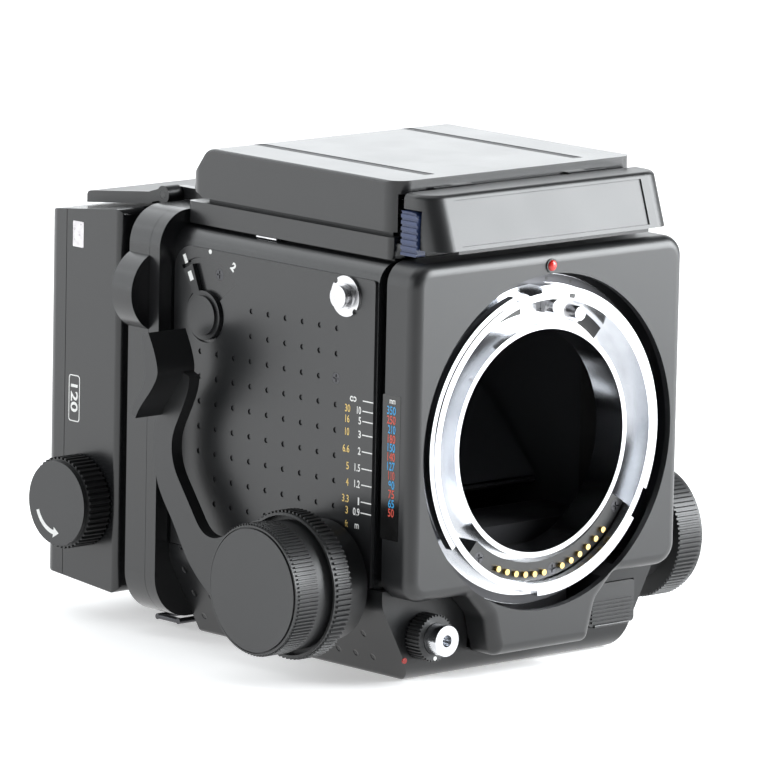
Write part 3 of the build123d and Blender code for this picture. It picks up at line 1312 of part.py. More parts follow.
def mirror_carrier():
    """Plate and pivot barrel that carry the reflex mirror, at its viewing angle."""
    top = MIRROR_FACE - MIRROR_GLASS_T
    plate = block(-MIRROR_HALF, MIRROR_HALF, -MIRROR_LEN, 0, top - MIRROR_PLATE_T, top)
    plate += rod_x(0, 0, BARREL_R, -MIRROR_HALF, MIRROR_HALF)
    plate -= block(-MIRROR_HALF, MIRROR_HALF, -MIRROR_LEN, -BARREL_R, top, MIRROR_FACE + 1)
    plate += rod_x(0, 0, HINGE_PIN_R, -BOX_HALF, BOX_HALF)
    return Pos(0, MIRROR_Y, MIRROR_Z) * Rot(MIRROR_REST, 0, 0) * plate


def mirror_glass():
    glass = block(-MIRROR_HALF + 0.5, MIRROR_HALF - 0.5, -MIRROR_LEN + 0.5, -BARREL_R - 0.1,
                  MIRROR_FACE - MIRROR_GLASS_T, MIRROR_FACE)
    return Pos(0, MIRROR_Y, MIRROR_Z) * Rot(MIRROR_REST, 0, 0) * glass


def light_baffle():
    """Blind that covers the film gate until the mirror rises."""
    half = MIRROR_HALF + 0.5
    blind = block(-half, half, BAFFLE_Y - BAFFLE_T / 2, BAFFLE_Y + BAFFLE_T / 2, BAFFLE_Z - BAFFLE_LEN, BAFFLE_Z)
    blind += rod_x(BAFFLE_Y, BAFFLE_Z, 1.2, -half, half)
    return blind + rod_x(BAFFLE_Y, BAFFLE_Z, BARREL_R / 2, -BOX_HALF, BOX_HALF)


# Revolving adapter and film back

def adapter_square():
    """Outline of both adapter plates in (X, Z)."""
    high = LENS_Z + ADAPTER_HALF
    return rounded([(-ADAPTER_HALF, ADAPTER_LOW), (ADAPTER_HALF, ADAPTER_LOW), (ADAPTER_HALF, high),
                    (-ADAPTER_HALF, high)], [ADAPTER_LOW_R, ADAPTER_LOW_R, ADAPTER_R, ADAPTER_R])


def gate_square():
    return Pos(0, LENS_Z) * Rectangle(2 * GATE_HALF, 2 * GATE_HALF)


def race(gap):
    """Ring on which the back turns, in (X, Z)."""
    return Pos(0, LENS_Z) * (Circle(RACE_R + RACE_W / 2 + gap) - Circle(RACE_R - RACE_W / 2 - gap))


def adapter_frame():
    """Fixed plate on the back of the body."""
    rear = BODY_REAR + ADAPTER_T
    frame = along_y(adapter_square() - gate_square(), BODY_REAR, rear)
    return frame - along_y(race(FIT), rear - RACE_DEPTH, rear)


def adapter_plate():
    """Revolving plate that carries the film back, with the hinge bar of its lock on top."""
    outline = adapter_square() + Pos(BULGE_X, BULGE_Z) * Circle(BULGE_R)
    plate = along_y(outline - gate_square(), REVOLVE_FRONT, REVOLVE_REAR)
    plate += along_y(race(0), REVOLVE_FRONT - RACE_DEPTH, REVOLVE_FRONT)
    top = LENS_Z + ADAPTER_HALF
    bar = FLAP_HALF - FLAP_ARM - 0.3
    plate += block(-bar, bar, HINGE_BAR_Y0, HINGE_BAR_Y1, top - 1, HINGE_BAR_TOP)
    for side in (-1, 1):
        x = sorted((side * (bar - 3), side * bar))
        plate += block(x[0], x[1], HINGE_BAR_Y1 - 1, FLAP_PIN_Y, top, FLAP_PIN_Z + 2)
        plate += rod_x(FLAP_PIN_Y, FLAP_PIN_Z, 2.0, x[0], x[1])
        pin = sorted((side * (bar - 1), side * FLAP_HALF))
        plate += rod_x(FLAP_PIN_Y, FLAP_PIN_Z, FLAP_PIN_R, pin[0], pin[1])
    return plate


def case_edge(y, low):
    """Height of the film back's sloping underside or top at a depth y."""
    share = (y - NECK_END) / (DOOR_END - NECK_END)
    if low:
        return CASE_LOW + (CASE_LOW_REAR - CASE_LOW) * share
    return CASE_HIGH + (CASE_HIGH_REAR - CASE_HIGH) * share


def case_section(inset):
    return polygon([(NECK_END + inset, CASE_LOW + inset), (DOOR_END - inset, CASE_LOW_REAR + inset),
                    (DOOR_END - inset, CASE_HIGH_REAR - inset), (NECK_END + inset, CASE_HIGH - inset)])


def whole_case():
    """Case and rear door as one form, with rounded edges."""
    form = along_x(case_section(0), -BACK_HALF, BACK_HALF)
    rear = [e for e in form.edges() if abs(e.center().Y - DOOR_END) < 0.01]
    form = fillet(rear, CASE_EDGE_R)
    front = [e for e in form.edges() if abs(e.center().Y - NECK_END) < 0.01]
    return fillet(front, CASE_FRONT_R)


def back_case():
    """Film back's front casting, with the film gate and the dark slide's slot."""
    case = whole_case() & block(-BACK_HALF, BACK_HALF, NECK_END, CASE_END, 0, CASE_HIGH + 1)
    case += along_y(plate_xz(-NECK_HALF, NECK_HALF, NECK_LOW, NECK_HIGH, 4.0), REVOLVE_REAR, NECK_END + CASE_FRONT_R)
    room = NECK_HALF - CASE_WALL
    case -= block(-room, room, REVOLVE_REAR + NECK_WALL, CASE_END, NECK_LOW + CASE_WALL, NECK_HIGH - CASE_WALL)
    case -= block(-FRAME_X, FRAME_X, REVOLVE_REAR, NECK_END, LENS_Z - FRAME_Z, LENS_Z + FRAME_Z)
    slot = SLIDE_SLOT / 2
    case -= block(-SLIDE_HALF - slot, SLIDE_HALF + slot, SLIDE_Y - slot, SLIDE_Y + slot, NECK_LOW, SLIDE_TOP + slot)
    case -= rod_x(SPOOL_Y, SPOOL_LOW_Z, WIND_SHAFT_R + FIT, -BACK_HALF, -room)
    hinge_y = CASE_END + CASE_DOOR_GAP / 2
    for side in (-1, 1):
        x = sorted((side * (DOOR_KNUCKLE_HALF + 0.2), side * DOOR_HINGE_HALF))
        case += rod_x(hinge_y, DOOR_HINGE_Z, DOOR_HINGE_R, x[0], x[1])
        case += block(x[0], x[1], hinge_y - DOOR_HINGE_R, hinge_y - 0.3, DOOR_HINGE_Z, case_edge(hinge_y, True) + 1)
    return case + rod_x(hinge_y, DOOR_HINGE_Z, DOOR_HINGE_R / 2, -DOOR_KNUCKLE_HALF - 1, DOOR_KNUCKLE_HALF + 1)


def back_door():
    """Rear cover of the film back, hinged along its lower edge."""
    front = CASE_END + CASE_DOOR_GAP
    door = whole_case() & block(-BACK_HALF, BACK_HALF, front, DOOR_END, 0, CASE_HIGH + 1)
    room = NECK_HALF - CASE_WALL
    door -= block(-room, room, front, DOOR_END - CASE_WALL, NECK_LOW + CASE_WALL, NECK_HIGH - CASE_WALL)
    hinge_y = CASE_END + CASE_DOOR_GAP / 2
    half = DOOR_KNUCKLE_HALF
    door += rod_x(hinge_y, DOOR_HINGE_Z, DOOR_HINGE_R, -half, half)
    door += block(-half, half, hinge_y + 0.3, hinge_y + DOOR_HINGE_R, DOOR_HINGE_Z, case_edge(hinge_y, True) + 1)
    return door - rod_x(hinge_y, DOOR_HINGE_Z, DOOR_HINGE_R / 2 + FIT, -half, half)


def door_latch():
    """Sliding latch of the rear door, on the right side of the case."""
    x0 = BACK_HALF + 0.1
    y1 = CASE_END - 1
    latch = block(x0, x0 + LATCH_T, y1 - LATCH_W, y1, LATCH_Z - LATCH_LEN / 2, LATCH_Z + LATCH_LEN / 2)
    for k in range(4):
        z = LATCH_Z - 4.5 + 2.6 * k
        latch += block(x0 + LATCH_T, x0 + LATCH_T + 0.6, y1 - LATCH_W + 0.6, y1 - 0.6, z, z + 1.2)
    return latch


def back_lock_flap():
    """Flap on top of the film back that holds it on the adapter."""
    y0 = FLAP_PIN_Y + FLAP_START
    low0 = case_edge(y0, False) + FLAP_LIFT
    low1 = case_edge(FLAP_REAR, False) + FLAP_LIFT
    side = rounded([(y0, low0), (FLAP_REAR, low1), (FLAP_REAR, low1 + FLAP_T), (y0, low0 + FLAP_T)], [0, 0, 1.4, 0])
    flap = along_x(side, -FLAP_HALF, FLAP_HALF)
    for edge in (-1, 1):
        x = sorted((edge * (FLAP_HALF - FLAP_ARM), edge * FLAP_HALF))
        arm = polygon([(FLAP_PIN_Y, FLAP_PIN_Z - 1.4), (y0 + 1, low0 + 0.2), (y0 + 1, low0 + FLAP_T),
                       (FLAP_PIN_Y, FLAP_PIN_Z + 1.9)])
        flap += along_x(arm, x[0], x[1]) + rod_x(FLAP_PIN_Y, FLAP_PIN_Z, FLAP_BARREL_R, x[0], x[1])
        flap -= rod_x(FLAP_PIN_Y, FLAP_PIN_Z, FLAP_PIN_R + FIT, x[0], x[1])
    return flap


def dark_slide():
    """Thin metal blind of the film back, with its wire pull folded forward below the adapter."""
    half = SLIDE_T / 2
    sheet = block(-SLIDE_HALF, SLIDE_HALF, SLIDE_Y - half, SLIDE_Y + half, PULL_Z, SLIDE_TOP)
    front = SLIDE_Y - PULL_L
    for y in (SLIDE_Y, front):
        sheet += rod_x(y, PULL_Z, PULL_R, -PULL_HALF, PULL_HALF)
    for x in (-PULL_HALF + PULL_R, PULL_HALF - PULL_R):
        sheet += rod_y(x, PULL_Z, PULL_R, front, SLIDE_Y)
    return sheet


def spool(z, film_r):
    """A film spool: core, two flanges and the film wound on it."""
    piece = rod_x(SPOOL_Y, z, film_r, -SPOOL_HALF, SPOOL_HALF)
    for x in (-SPOOL_HALF, SPOOL_HALF - SPOOL_FLANGE):
        piece += rod_x(SPOOL_Y, z, SPOOL_R, x, x + SPOOL_FLANGE)
    return piece - rod_x(SPOOL_Y, z, SPOOL_BORE_R, -SPOOL_HALF, SPOOL_HALF)


def take_up_spool():
    return spool(SPOOL_LOW_Z, SPOOL_CORE_R)


def supply_spool():
    return spool(SPOOL_HIGH_Z, FILM_R)


def wind_knob():
    """Film winding knob with the shaft that drives the take-up spool."""
    grip = Pos(SPOOL_Y, SPOOL_LOW_Z) * knurled(WIND_R, KNURL_DEPTH, 48)
    knob = along_x(grip, -WIND_STEP, -WIND_IN)
    knob += rod_x(SPOOL_Y, SPOOL_LOW_Z, WIND_FACE_R, -WIND_OUT, -WIND_STEP)
    return [knob, rod_x(SPOOL_Y, SPOOL_LOW_Z, WIND_SHAFT_R, -WIND_IN, -SPOOL_HALF + 6)]


def film_insert():
    """Frame that holds both spools, the guide rollers and the spool pins."""
    far = INSERT_X + INSERT_T
    frame = block(-far, far, BRIDGE_Y, BRIDGE_Y + INSERT_T, LENS_Z - 30, LENS_Z + 30)
    room = NECK_HALF - CASE_WALL
    for side in (-1, 1):
        x = sorted((side * INSERT_X, side * far))
        cheek = block(x[0], x[1], INSERT_FRONT, CASE_END - 0.5, INSERT_LOW, INSERT_HIGH)
        if side < 0:
            cheek -= rod_x(SPOOL_Y, SPOOL_LOW_Z, WIND_SHAFT_R + 0.6, x[0], x[1])
        frame += cheek
        foot = sorted((side * far, side * room))
        for z in (INSERT_LOW, INSERT_HIGH - INSERT_T):
            frame += block(foot[0], foot[1], INSERT_FRONT, INSERT_FRONT + 20, z, z + INSERT_T)
        pin = sorted((side * (INSERT_X + 0.1), side * (SPOOL_HALF - 6)))
        frame += rod_x(SPOOL_Y, SPOOL_HIGH_Z, SPOOL_BORE_R - FIT, pin[0], pin[1])
    frame += rod_x(SPOOL_Y, SPOOL_LOW_Z, SPOOL_BORE_R - FIT, SPOOL_HALF - 6, INSERT_X + 0.6)
    for side in (-1, 1):
        frame += rod_x(ROLLER_Y, LENS_Z + side * ROLLER_Z, ROLLER_R, -INSERT_X - 0.2, INSERT_X + 0.2)
    return frame


def pressure_plate():
    """Plate that keeps the film flat, on two posts of the insert's bridge."""
    plate = block(-PRESSURE_HALF, PRESSURE_HALF, PRESSURE_Y, PRESSURE_Y + PRESSURE_T,
                  LENS_Z - PRESSURE_Z, LENS_Z + PRESSURE_Z)
    for z in (LENS_Z - 18, LENS_Z + 18):
        plate += rod_y(0, z, 2.0, PRESSURE_Y + PRESSURE_T, BRIDGE_Y)
    return plate


PARTS = {
    "body_shell": body_shell,
    "left_side_panel": lambda: side_panel(-1),
    "right_side_panel": lambda: side_panel(1),
    "base_housing": base_housing,
    "tripod_bush": tripod_bush,
    "shaft_bushes": shaft_bushes,
    "strap_studs": strap_studs,
    "panel_screws": panel_screws,
    "mirror_box": mirror_box,
    "focusing_screen": focusing_screen,
    "circuit_board": circuit_board,
    "rail_guides": rail_guides,
    "battery": battery,
    "accessory_shoe": accessory_shoe,
    "sync_terminal": sync_terminal,
    "shutter_dial": shutter_dial,
    "focus_lock": focus_lock,
    "front_panel": front_panel,
    "mount_ring": mount_ring,
    "contact_block": contact_block,
    "contact_pins": contact_pins,
    "mount_screws": mount_screws,
    "cocking_ring": cocking_ring,
    "standard_frame": standard_frame,
    "rack_rails": rack_rails,
    "bellows": bellows,
    "focus_shaft": focus_shaft,
    "coarse_focus_ring": coarse_ring,
    "right_focus_knob": right_focus_knob,
    "fine_focus_knob": fine_knob,
    "cocking_lever": cocking_lever,
    "selector_lever": selector_lever,
    "release_button": release_button,
    "release_collar": release_collar,
    "release_spring": release_spring,
    "battery_door": battery_door,
    "finder_base": finder_base,
    "hood_lid": hood_lid,
    "hood_leaf_left": lambda: side_leaf(-1),
    "hood_leaf_right": lambda: side_leaf(1),
    "hood_leaf_rear": rear_leaf,
    "loupe_frame": loupe_frame,
    "loupe_lens": loupe_lens,
    "nameplate_block": nameplate_block,
    "finder_catch": finder_catch,
    "mirror_carrier": mirror_carrier,
    "mirror_glass": mirror_glass,
    "light_baffle": light_baffle,
    "adapter_frame": adapter_frame,
    "adapter_plate": adapter_plate,
    "back_case": back_case,
    "back_door": back_door,
    "door_latch": door_latch,
    "back_lock_flap": back_lock_flap,
    "dark_slide": dark_slide,
    "take_up_spool": take_up_spool,
    "supply_spool": supply_spool,
    "wind_knob": wind_knob,
    "film_insert": film_insert,
    "pressure_plate": pressure_plate,
}

os.makedirs("parts", exist_ok=True)
for name, make in PARTS.items():
    made = make()
    shape = Compound(children=made) if isinstance(made, list) else made
    export_step(shape, f"parts/{name}.step")
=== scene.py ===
from math import cos, pi, radians, sin

import bpy
from mathutils import Matrix, Vector


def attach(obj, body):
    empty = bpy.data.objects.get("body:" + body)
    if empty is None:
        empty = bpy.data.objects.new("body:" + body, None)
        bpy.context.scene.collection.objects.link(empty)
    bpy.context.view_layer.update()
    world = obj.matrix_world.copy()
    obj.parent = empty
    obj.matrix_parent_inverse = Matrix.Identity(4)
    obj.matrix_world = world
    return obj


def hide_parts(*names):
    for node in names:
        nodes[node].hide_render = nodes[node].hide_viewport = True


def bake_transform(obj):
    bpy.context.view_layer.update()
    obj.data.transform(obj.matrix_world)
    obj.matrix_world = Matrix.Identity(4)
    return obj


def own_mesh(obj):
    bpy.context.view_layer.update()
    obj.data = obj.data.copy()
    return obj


# Looks of a medium format reflex camera. Lengths are written in millimetres and turned to metres by MM.
MM = 0.001

# Places shared with the solids, in millimetres
LENS_Z = 61.6
PANEL_FACE = -49.2
FRONT_SIDE = -48.7
FRONT_FACE = -55.0
SELECTOR_Y = 26.2
SELECTOR_Z = 89.2
SELECTOR_LEAN = 27
POINTER_FACE = -50.0
BACK_FACE = -48.0
BASE_FRONT = -45.0
COLLAR_FRONT = -50.0
RELEASE_X = -34.4
RELEASE_Z = 12.4
WIND_KNOB_FACE = (-57.0, 76.8, 31.6)
SEAM_Z = 25.6
BODY_TOP = 111.6
GROOVE_FLOOR = 132.0
GROOVE_X = 26.7

# Grid of the dimples in the base's slope, and the part of the base that has them
DIMPLE_PITCH = 6.714
DIMPLE_Y = 1.06
DIMPLE_Z = 65.81
DIMPLE_SIDE = 36.0
DIMPLE_FRONT = -38.0
DIMPLE_DEPTH = 0.5

# Camera that took the photograph
CAMERA_AT = (-1.465497, -1.5791615, 0.440801)
CAMERA_RIGHT = (0.7371289, -0.6754535, 0.0200886)
CAMERA_UP = (0.1002628, 0.1387198, 0.9852432)
CAMERA_BACK = (-0.6682727, -0.7242371, 0.1699770)
FOCAL_LENGTH = 383.56
SENSOR = 36.0

# Printed colours
WHITE_INK = (0.82, 0.82, 0.80)
YELLOW_INK = (0.80, 0.56, 0.16)
BLUE_INK = (0.02, 0.32, 0.66)
RED_INK = (0.62, 0.07, 0.04)

# The lamps are a little cool, and the paper glows a little by itself
LAMP_TINT = (0.95, 0.98, 1.0)
FLOOR_GLOW = 0.40

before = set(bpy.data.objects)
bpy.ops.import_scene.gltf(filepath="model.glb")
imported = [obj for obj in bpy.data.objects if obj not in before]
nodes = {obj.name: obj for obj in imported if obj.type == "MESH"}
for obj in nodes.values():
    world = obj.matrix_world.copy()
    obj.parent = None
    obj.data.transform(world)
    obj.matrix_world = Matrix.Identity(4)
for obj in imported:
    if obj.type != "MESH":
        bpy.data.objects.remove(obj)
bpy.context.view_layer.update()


# Materials

def node_tree(name):
    material = bpy.data.materials.new(name)
    material.use_nodes = True
    tree = material.node_tree
    return material, tree.nodes, tree.links, tree.nodes["Principled BSDF"]


def noise(tree_nodes, links, coordinates, scale, detail=3.0, roughness=0.5):
    texture = tree_nodes.new("ShaderNodeTexNoise")
    texture.inputs["Scale"].default_value = scale
    texture.inputs["Detail"].default_value = detail
    texture.inputs["Roughness"].default_value = roughness
    links.new(coordinates, texture.inputs["Vector"])
    return texture.outputs["Fac"]


def spread(tree_nodes, links, value, low, high, from_low=0.3, from_high=0.7):
    """Maps a noise value to a range."""
    mapping = tree_nodes.new("ShaderNodeMapRange")
    mapping.inputs["From Min"].default_value = from_low
    mapping.inputs["From Max"].default_value = from_high
    mapping.inputs["To Min"].default_value = low
    mapping.inputs["To Max"].default_value = high
    links.new(value, mapping.inputs["Value"])
    return mapping.outputs["Result"]


def blended(tree_nodes, links, value, dark, light):
    """A colour between two, driven by a noise value."""
    ramp = tree_nodes.new("ShaderNodeValToRGB")
    ramp.color_ramp.elements[0].position = 0.3
    ramp.color_ramp.elements[0].color = (*dark, 1)
    ramp.color_ramp.elements[1].position = 0.7
    ramp.color_ramp.elements[1].color = (*light, 1)
    links.new(value, ramp.inputs["Fac"])
    return ramp.outputs["Color"]


def finish(name, dark, light, rough=(0.3, 0.4), metallic=0.0, cloud=60.0, grain=4000.0, bump=0.05,
           depth=0.00002, specular=0.5, coat=0.0, stretch=(1, 1, 1)):
    """A surface whose colour and gloss vary slowly, under a fine grain."""
    material, tree_nodes, links, shader = node_tree(name)
    place = tree_nodes.new("ShaderNodeTexCoord").outputs["Object"]
    scaled = tree_nodes.new("ShaderNodeVectorMath")
    scaled.operation = "MULTIPLY"
    scaled.inputs[1].default_value = stretch
    links.new(place, scaled.inputs[0])
    slow = noise(tree_nodes, links, place, cloud)
    fine = noise(tree_nodes, links, scaled.outputs["Vector"], grain, 4.0, 0.6)
    links.new(blended(tree_nodes, links, slow, dark, light), shader.inputs["Base Color"])
    links.new(spread(tree_nodes, links, slow, rough[0], rough[1]), shader.inputs["Roughness"])
    relief = tree_nodes.new("ShaderNodeBump")
    relief.inputs["Strength"].default_value = bump
    relief.inputs["Distance"].default_value = depth
    links.new(fine, relief.inputs["Height"])
    links.new(relief.outputs["Normal"], shader.inputs["Normal"])
    shader.inputs["Metallic"].default_value = metallic
    shader.inputs["Specular IOR Level"].default_value = specular
    shader.inputs["Coat Weight"].default_value = coat
    return material


def enamel():
    """Semi-gloss black paint on the castings."""
    return finish("black_enamel", (0.0070, 0.0073, 0.0080), (0.0085, 0.0088, 0.0096), (0.24, 0.27),
                  cloud=45.0, grain=2600.0, bump=0.08)


def moulded():
    """Black moulded plastic of the front panel and small controls."""
    return finish("black_moulding", (0.0065, 0.0068, 0.0075), (0.0080, 0.0083, 0.0090), (0.38, 0.41),
                  cloud=70.0, grain=3600.0, bump=0.06)


def satin():
    """Satin plastic of the side panels."""
    return finish("satin_panel", (0.0090, 0.0094, 0.0102), (0.0110, 0.0114, 0.0122), (0.30, 0.33),
                  cloud=40.0, grain=3000.0, bump=0.10)


def knob_rubber():
    return finish("knob_satin", (0.014, 0.0143, 0.015), (0.018, 0.0183, 0.019), (0.44, 0.50),
                  cloud=120.0, grain=2200.0, bump=0.20)


def chrome():
    return finish("bright_chrome", (0.54, 0.55, 0.57), (0.63, 0.64, 0.66), (0.15, 0.21), 1.0,
                  cloud=90.0, grain=900.0, bump=0.03)


def steel():
    return finish("turned_steel", (0.42, 0.42, 0.43), (0.60, 0.60, 0.61), (0.22, 0.34), 1.0,
                  cloud=160.0, grain=1500.0, bump=0.12, stretch=(0.05, 1, 1))


def dark_metal():
    return finish("dark_alloy", (0.060, 0.060, 0.064), (0.070, 0.070, 0.075), (0.40, 0.44), 0.8,
                  cloud=120.0, grain=2500.0, bump=0.1)


def gold():
    return finish("gold_plate", (0.78, 0.53, 0.18), (0.90, 0.66, 0.27), (0.14, 0.22), 1.0,
                  cloud=900.0, grain=4000.0, bump=0.05)


def bearing_brass():
    return finish("bearing_brass", (0.55, 0.38, 0.13), (0.70, 0.50, 0.20), (0.25, 0.35), 1.0,
                  cloud=300.0, grain=2000.0, bump=0.1)


def painted_groove_light():
    """Matt mid-grey floor of the two grooves in the finder's lid; the grey is painted light, standing for the
    light the groove floors catch.
    """
    return finish("painted_groove_light", (0.050, 0.051, 0.054), (0.065, 0.066, 0.069), (0.55, 0.65),
                  cloud=150.0, grain=3000.0, bump=0.15)


def flock():
    """Dead black of the mirror chamber."""
    return finish("flock_black", (0.012, 0.012, 0.014), (0.018, 0.018, 0.020), (0.75, 0.9),
                  cloud=200.0, grain=1500.0, bump=0.6, specular=0.25)


def cloth():
    """Matt pleated cloth of the bellows."""
    return finish("bellows_cloth", (0.006, 0.006, 0.006), (0.012, 0.012, 0.012), (0.7, 0.85),
                  cloud=400.0, grain=5000.0, bump=0.5, specular=0.2)


# Black insulating plastic; the same black also paints the shade inside the mount's slots and holes.
def insulator_and_slot_shade():
    return finish("black_insulator_and_slot_shade", (0.010, 0.010, 0.010), (0.018, 0.018, 0.018), (0.35, 0.45),
                  cloud=300.0, grain=3000.0, bump=0.1)


def blue_catch():
    return finish("blue_catch", (0.010, 0.022, 0.075), (0.018, 0.036, 0.11), (0.35, 0.45),
                  cloud=200.0, grain=3000.0, bump=0.15)


def board_green():
    return finish("board_green", (0.01, 0.09, 0.03), (0.02, 0.14, 0.05), (0.3, 0.5), cloud=400.0,
                  grain=1500.0, bump=0.1)


def silvered():
    return finish("silvered_mirror", (0.85, 0.86, 0.88), (0.90, 0.91, 0.92), (0.02, 0.04), 1.0,
                  cloud=30.0, grain=500.0, bump=0.0)


def ink(name, colour):
    """Filled engraving or screen print, a little uneven."""
    dark = tuple(c * 0.86 for c in colour)
    return finish(name, dark, colour, (0.45, 0.6), cloud=1500.0, grain=6000.0, bump=0.1)


def glass(name, rough):
    material, tree_nodes, links, shader = node_tree(name)
    place = tree_nodes.new("ShaderNodeTexCoord").outputs["Object"]
    slow = noise(tree_nodes, links, place, 80.0)
    tint = blended(tree_nodes, links, slow, (0.90, 0.94, 0.93), (0.95, 0.97, 0.97))
    links.new(tint, shader.inputs["Base Color"])
    links.new(spread(tree_nodes, links, slow, rough, rough + 0.02), shader.inputs["Roughness"])
    shader.inputs["Transmission Weight"].default_value = 1.0
    shader.inputs["IOR"].default_value = 1.5
    return material


def dimpled(name, dark, light):
    """Base housing's paint, with the rows of dimples pressed in its sloping side."""
    material = finish(name, dark, light, (0.30, 0.38), cloud=45.0, grain=2600.0, bump=0.12, specular=0.35)
    tree_nodes = material.node_tree.nodes
    links = material.node_tree.links
    place = tree_nodes["Texture Coordinate"].outputs["Object"]
    parts = tree_nodes.new("ShaderNodeSeparateXYZ")
    links.new(place, parts.inputs["Vector"])

    def math(operation, a, b=None, c=None):
        step = tree_nodes.new("ShaderNodeMath")
        step.operation = operation
        for socket, value in zip(step.inputs, (a, b, c)):
            if isinstance(value, (int, float)):
                socket.default_value = value
            elif value is not None:
                links.new(value, socket)
        return step.outputs["Value"]

    def offset(value, start):
        steps = math("DIVIDE", math("SUBTRACT", value, start * MM), DIMPLE_PITCH * MM)
        return math("SUBTRACT", steps, math("ROUND", steps))

    across = offset(parts.outputs["Y"], DIMPLE_Y)
    up = offset(parts.outputs["Z"], DIMPLE_Z)
    distance = math("SQRT", math("ADD", math("MULTIPLY", across, across), math("MULTIPLY", up, up)))
    pit = tree_nodes.new("ShaderNodeMapRange")
    pit.interpolation_type = "SMOOTHSTEP"
    pit.inputs["From Min"].default_value = 0.07
    pit.inputs["From Max"].default_value = 0.15
    links.new(distance, pit.inputs["Value"])
    side = math("GREATER_THAN", math("ABSOLUTE", parts.outputs["X"]), DIMPLE_SIDE * MM)
    low = math("LESS_THAN", parts.outputs["Z"], SEAM_Z * MM)
    rear = math("GREATER_THAN", parts.outputs["Y"], DIMPLE_FRONT * MM)
    where = math("MULTIPLY", math("MULTIPLY", side, low), rear)
    height = math("SUBTRACT", 1.0, math("MULTIPLY", where, math("SUBTRACT", 1.0, pit.outputs["Result"])))
    relief = tree_nodes.new("ShaderNodeBump")
    relief.inputs["Strength"].default_value = 1.0
    relief.inputs["Distance"].default_value = DIMPLE_DEPTH * MM
    links.new(height, relief.inputs["Height"])
    links.new(tree_nodes["Bump"].outputs["Normal"], relief.inputs["Normal"])
    links.new(relief.outputs["Normal"], tree_nodes["Principled BSDF"].inputs["Normal"])
    return material


ENAMEL = enamel()
MOULDED = moulded()
SATIN = satin()
KNOB = knob_rubber()
CHROME = chrome()
STEEL = steel()
DARK_METAL = dark_metal()
GOLD = gold()
BRASS = bearing_brass()
FLOCK = flock()
GROOVE = painted_groove_light()
CLOTH = cloth()
INSULATOR_AND_SLOT_SHADE = insulator_and_slot_shade()
BLUE = blue_catch()
BOARD = board_green()
SILVER = silvered()
CLEAR = glass("clear_glass", 0.02)
MATT_GLASS = glass("ground_glass", 0.35)
BASE_PAINT = dimpled("base_enamel", (0.0070, 0.0073, 0.0080), (0.0085, 0.0088, 0.0096))
WHITE = ink("white_ink", WHITE_INK)
YELLOW = ink("yellow_ink", YELLOW_INK)
BLUE_PRINT = ink("blue_ink", BLUE_INK)
RED_PRINT = ink("red_ink", RED_INK)
RED_DOT = finish("red_enamel", (0.50, 0.015, 0.012), (0.62, 0.03, 0.02), (0.2, 0.3), cloud=800.0, bump=0.05)
GLOSS_BLACK = finish("gloss_film", (0.006, 0.006, 0.006), (0.010, 0.010, 0.010), (0.12, 0.2),
                     cloud=200.0, bump=0.03)
STICKER = finish("foil_sticker", (0.42, 0.40, 0.41), (0.62, 0.60, 0.61), (0.25, 0.4), 0.6,
                 cloud=500.0, bump=0.1)

LOOKS = {
    "accessory_shoe": DARK_METAL, "adapter_frame": ENAMEL, "adapter_plate": ENAMEL, "back_case": ENAMEL,
    "back_door": ENAMEL, "back_lock_flap": MOULDED, "base_housing": BASE_PAINT, "battery": STEEL,
    "battery_door": MOULDED, "body_shell": ENAMEL, "circuit_board": BOARD, "coarse_focus_ring": KNOB,
    "cocking_lever": MOULDED, "cocking_ring": STEEL, "contact_block": INSULATOR_AND_SLOT_SHADE, "contact_pins": GOLD,
    "dark_slide": DARK_METAL, "door_latch": MOULDED, "film_insert": DARK_METAL, "finder_base": ENAMEL,
    "finder_catch": BLUE, "fine_focus_knob": KNOB, "focus_lock": MOULDED, "focus_shaft": STEEL,
    "focusing_screen": MATT_GLASS, "front_panel": MOULDED, "hood_leaf_left": FLOCK, "hood_leaf_rear": FLOCK,
    "hood_leaf_right": FLOCK, "hood_lid": ENAMEL, "left_side_panel": SATIN, "light_baffle": FLOCK,
    "loupe_frame": INSULATOR_AND_SLOT_SHADE, "loupe_lens": CLEAR, "mirror_box": FLOCK, "mirror_carrier": DARK_METAL,
    "mirror_glass": SILVER, "mount_ring": CHROME, "mount_screws": DARK_METAL, "nameplate_block": MOULDED,
    "panel_screws": DARK_METAL, "pressure_plate": DARK_METAL, "rack_rails": STEEL, "rail_guides": DARK_METAL,
    "release_button": CHROME, "release_collar": KNOB, "right_focus_knob": KNOB, "right_side_panel": SATIN,
    "selector_lever": MOULDED, "shaft_bushes": BRASS, "shutter_dial": KNOB, "standard_frame": DARK_METAL,
    "strap_studs": STEEL, "supply_spool": INSULATOR_AND_SLOT_SHADE, "sync_terminal": STEEL, "take_up_spool": INSULATOR_AND_SLOT_SHADE,
    "tripod_bush": STEEL, "wind_knob": KNOB,
}

# Width in millimetres by which the edges of these castings and mouldings are broken
BROKEN_EDGES = {
    "adapter_frame": 0.5, "adapter_plate": 0.6, "back_case": 0.6, "back_door": 0.4, "back_lock_flap": 0.5,
    "base_housing": 0.4, "battery_door": 0.2, "body_shell": 0.5, "cocking_lever": 0.7, "finder_base": 0.5,
    "finder_catch": 0.12, "hood_lid": 0.4, "nameplate_block": 0.6, "selector_lever": 0.25, "focus_lock": 0.3,
    "door_latch": 0.2, "accessory_shoe": 0.15, "mount_ring": 0.2,
}


def dress_nodes():
    for name, material in LOOKS.items():
        piece = nodes[name]
        piece.data.materials.clear()
        piece.data.materials.append(material)
    for name, width in BROKEN_EDGES.items():
        edge = nodes[name].modifiers.new("broken_edge", "BEVEL")
        edge.width = width * MM
        edge.segments = 2
        edge.limit_method = "ANGLE"
        edge.angle_limit = radians(40)
        edge.harden_normals = True


# Building pieces

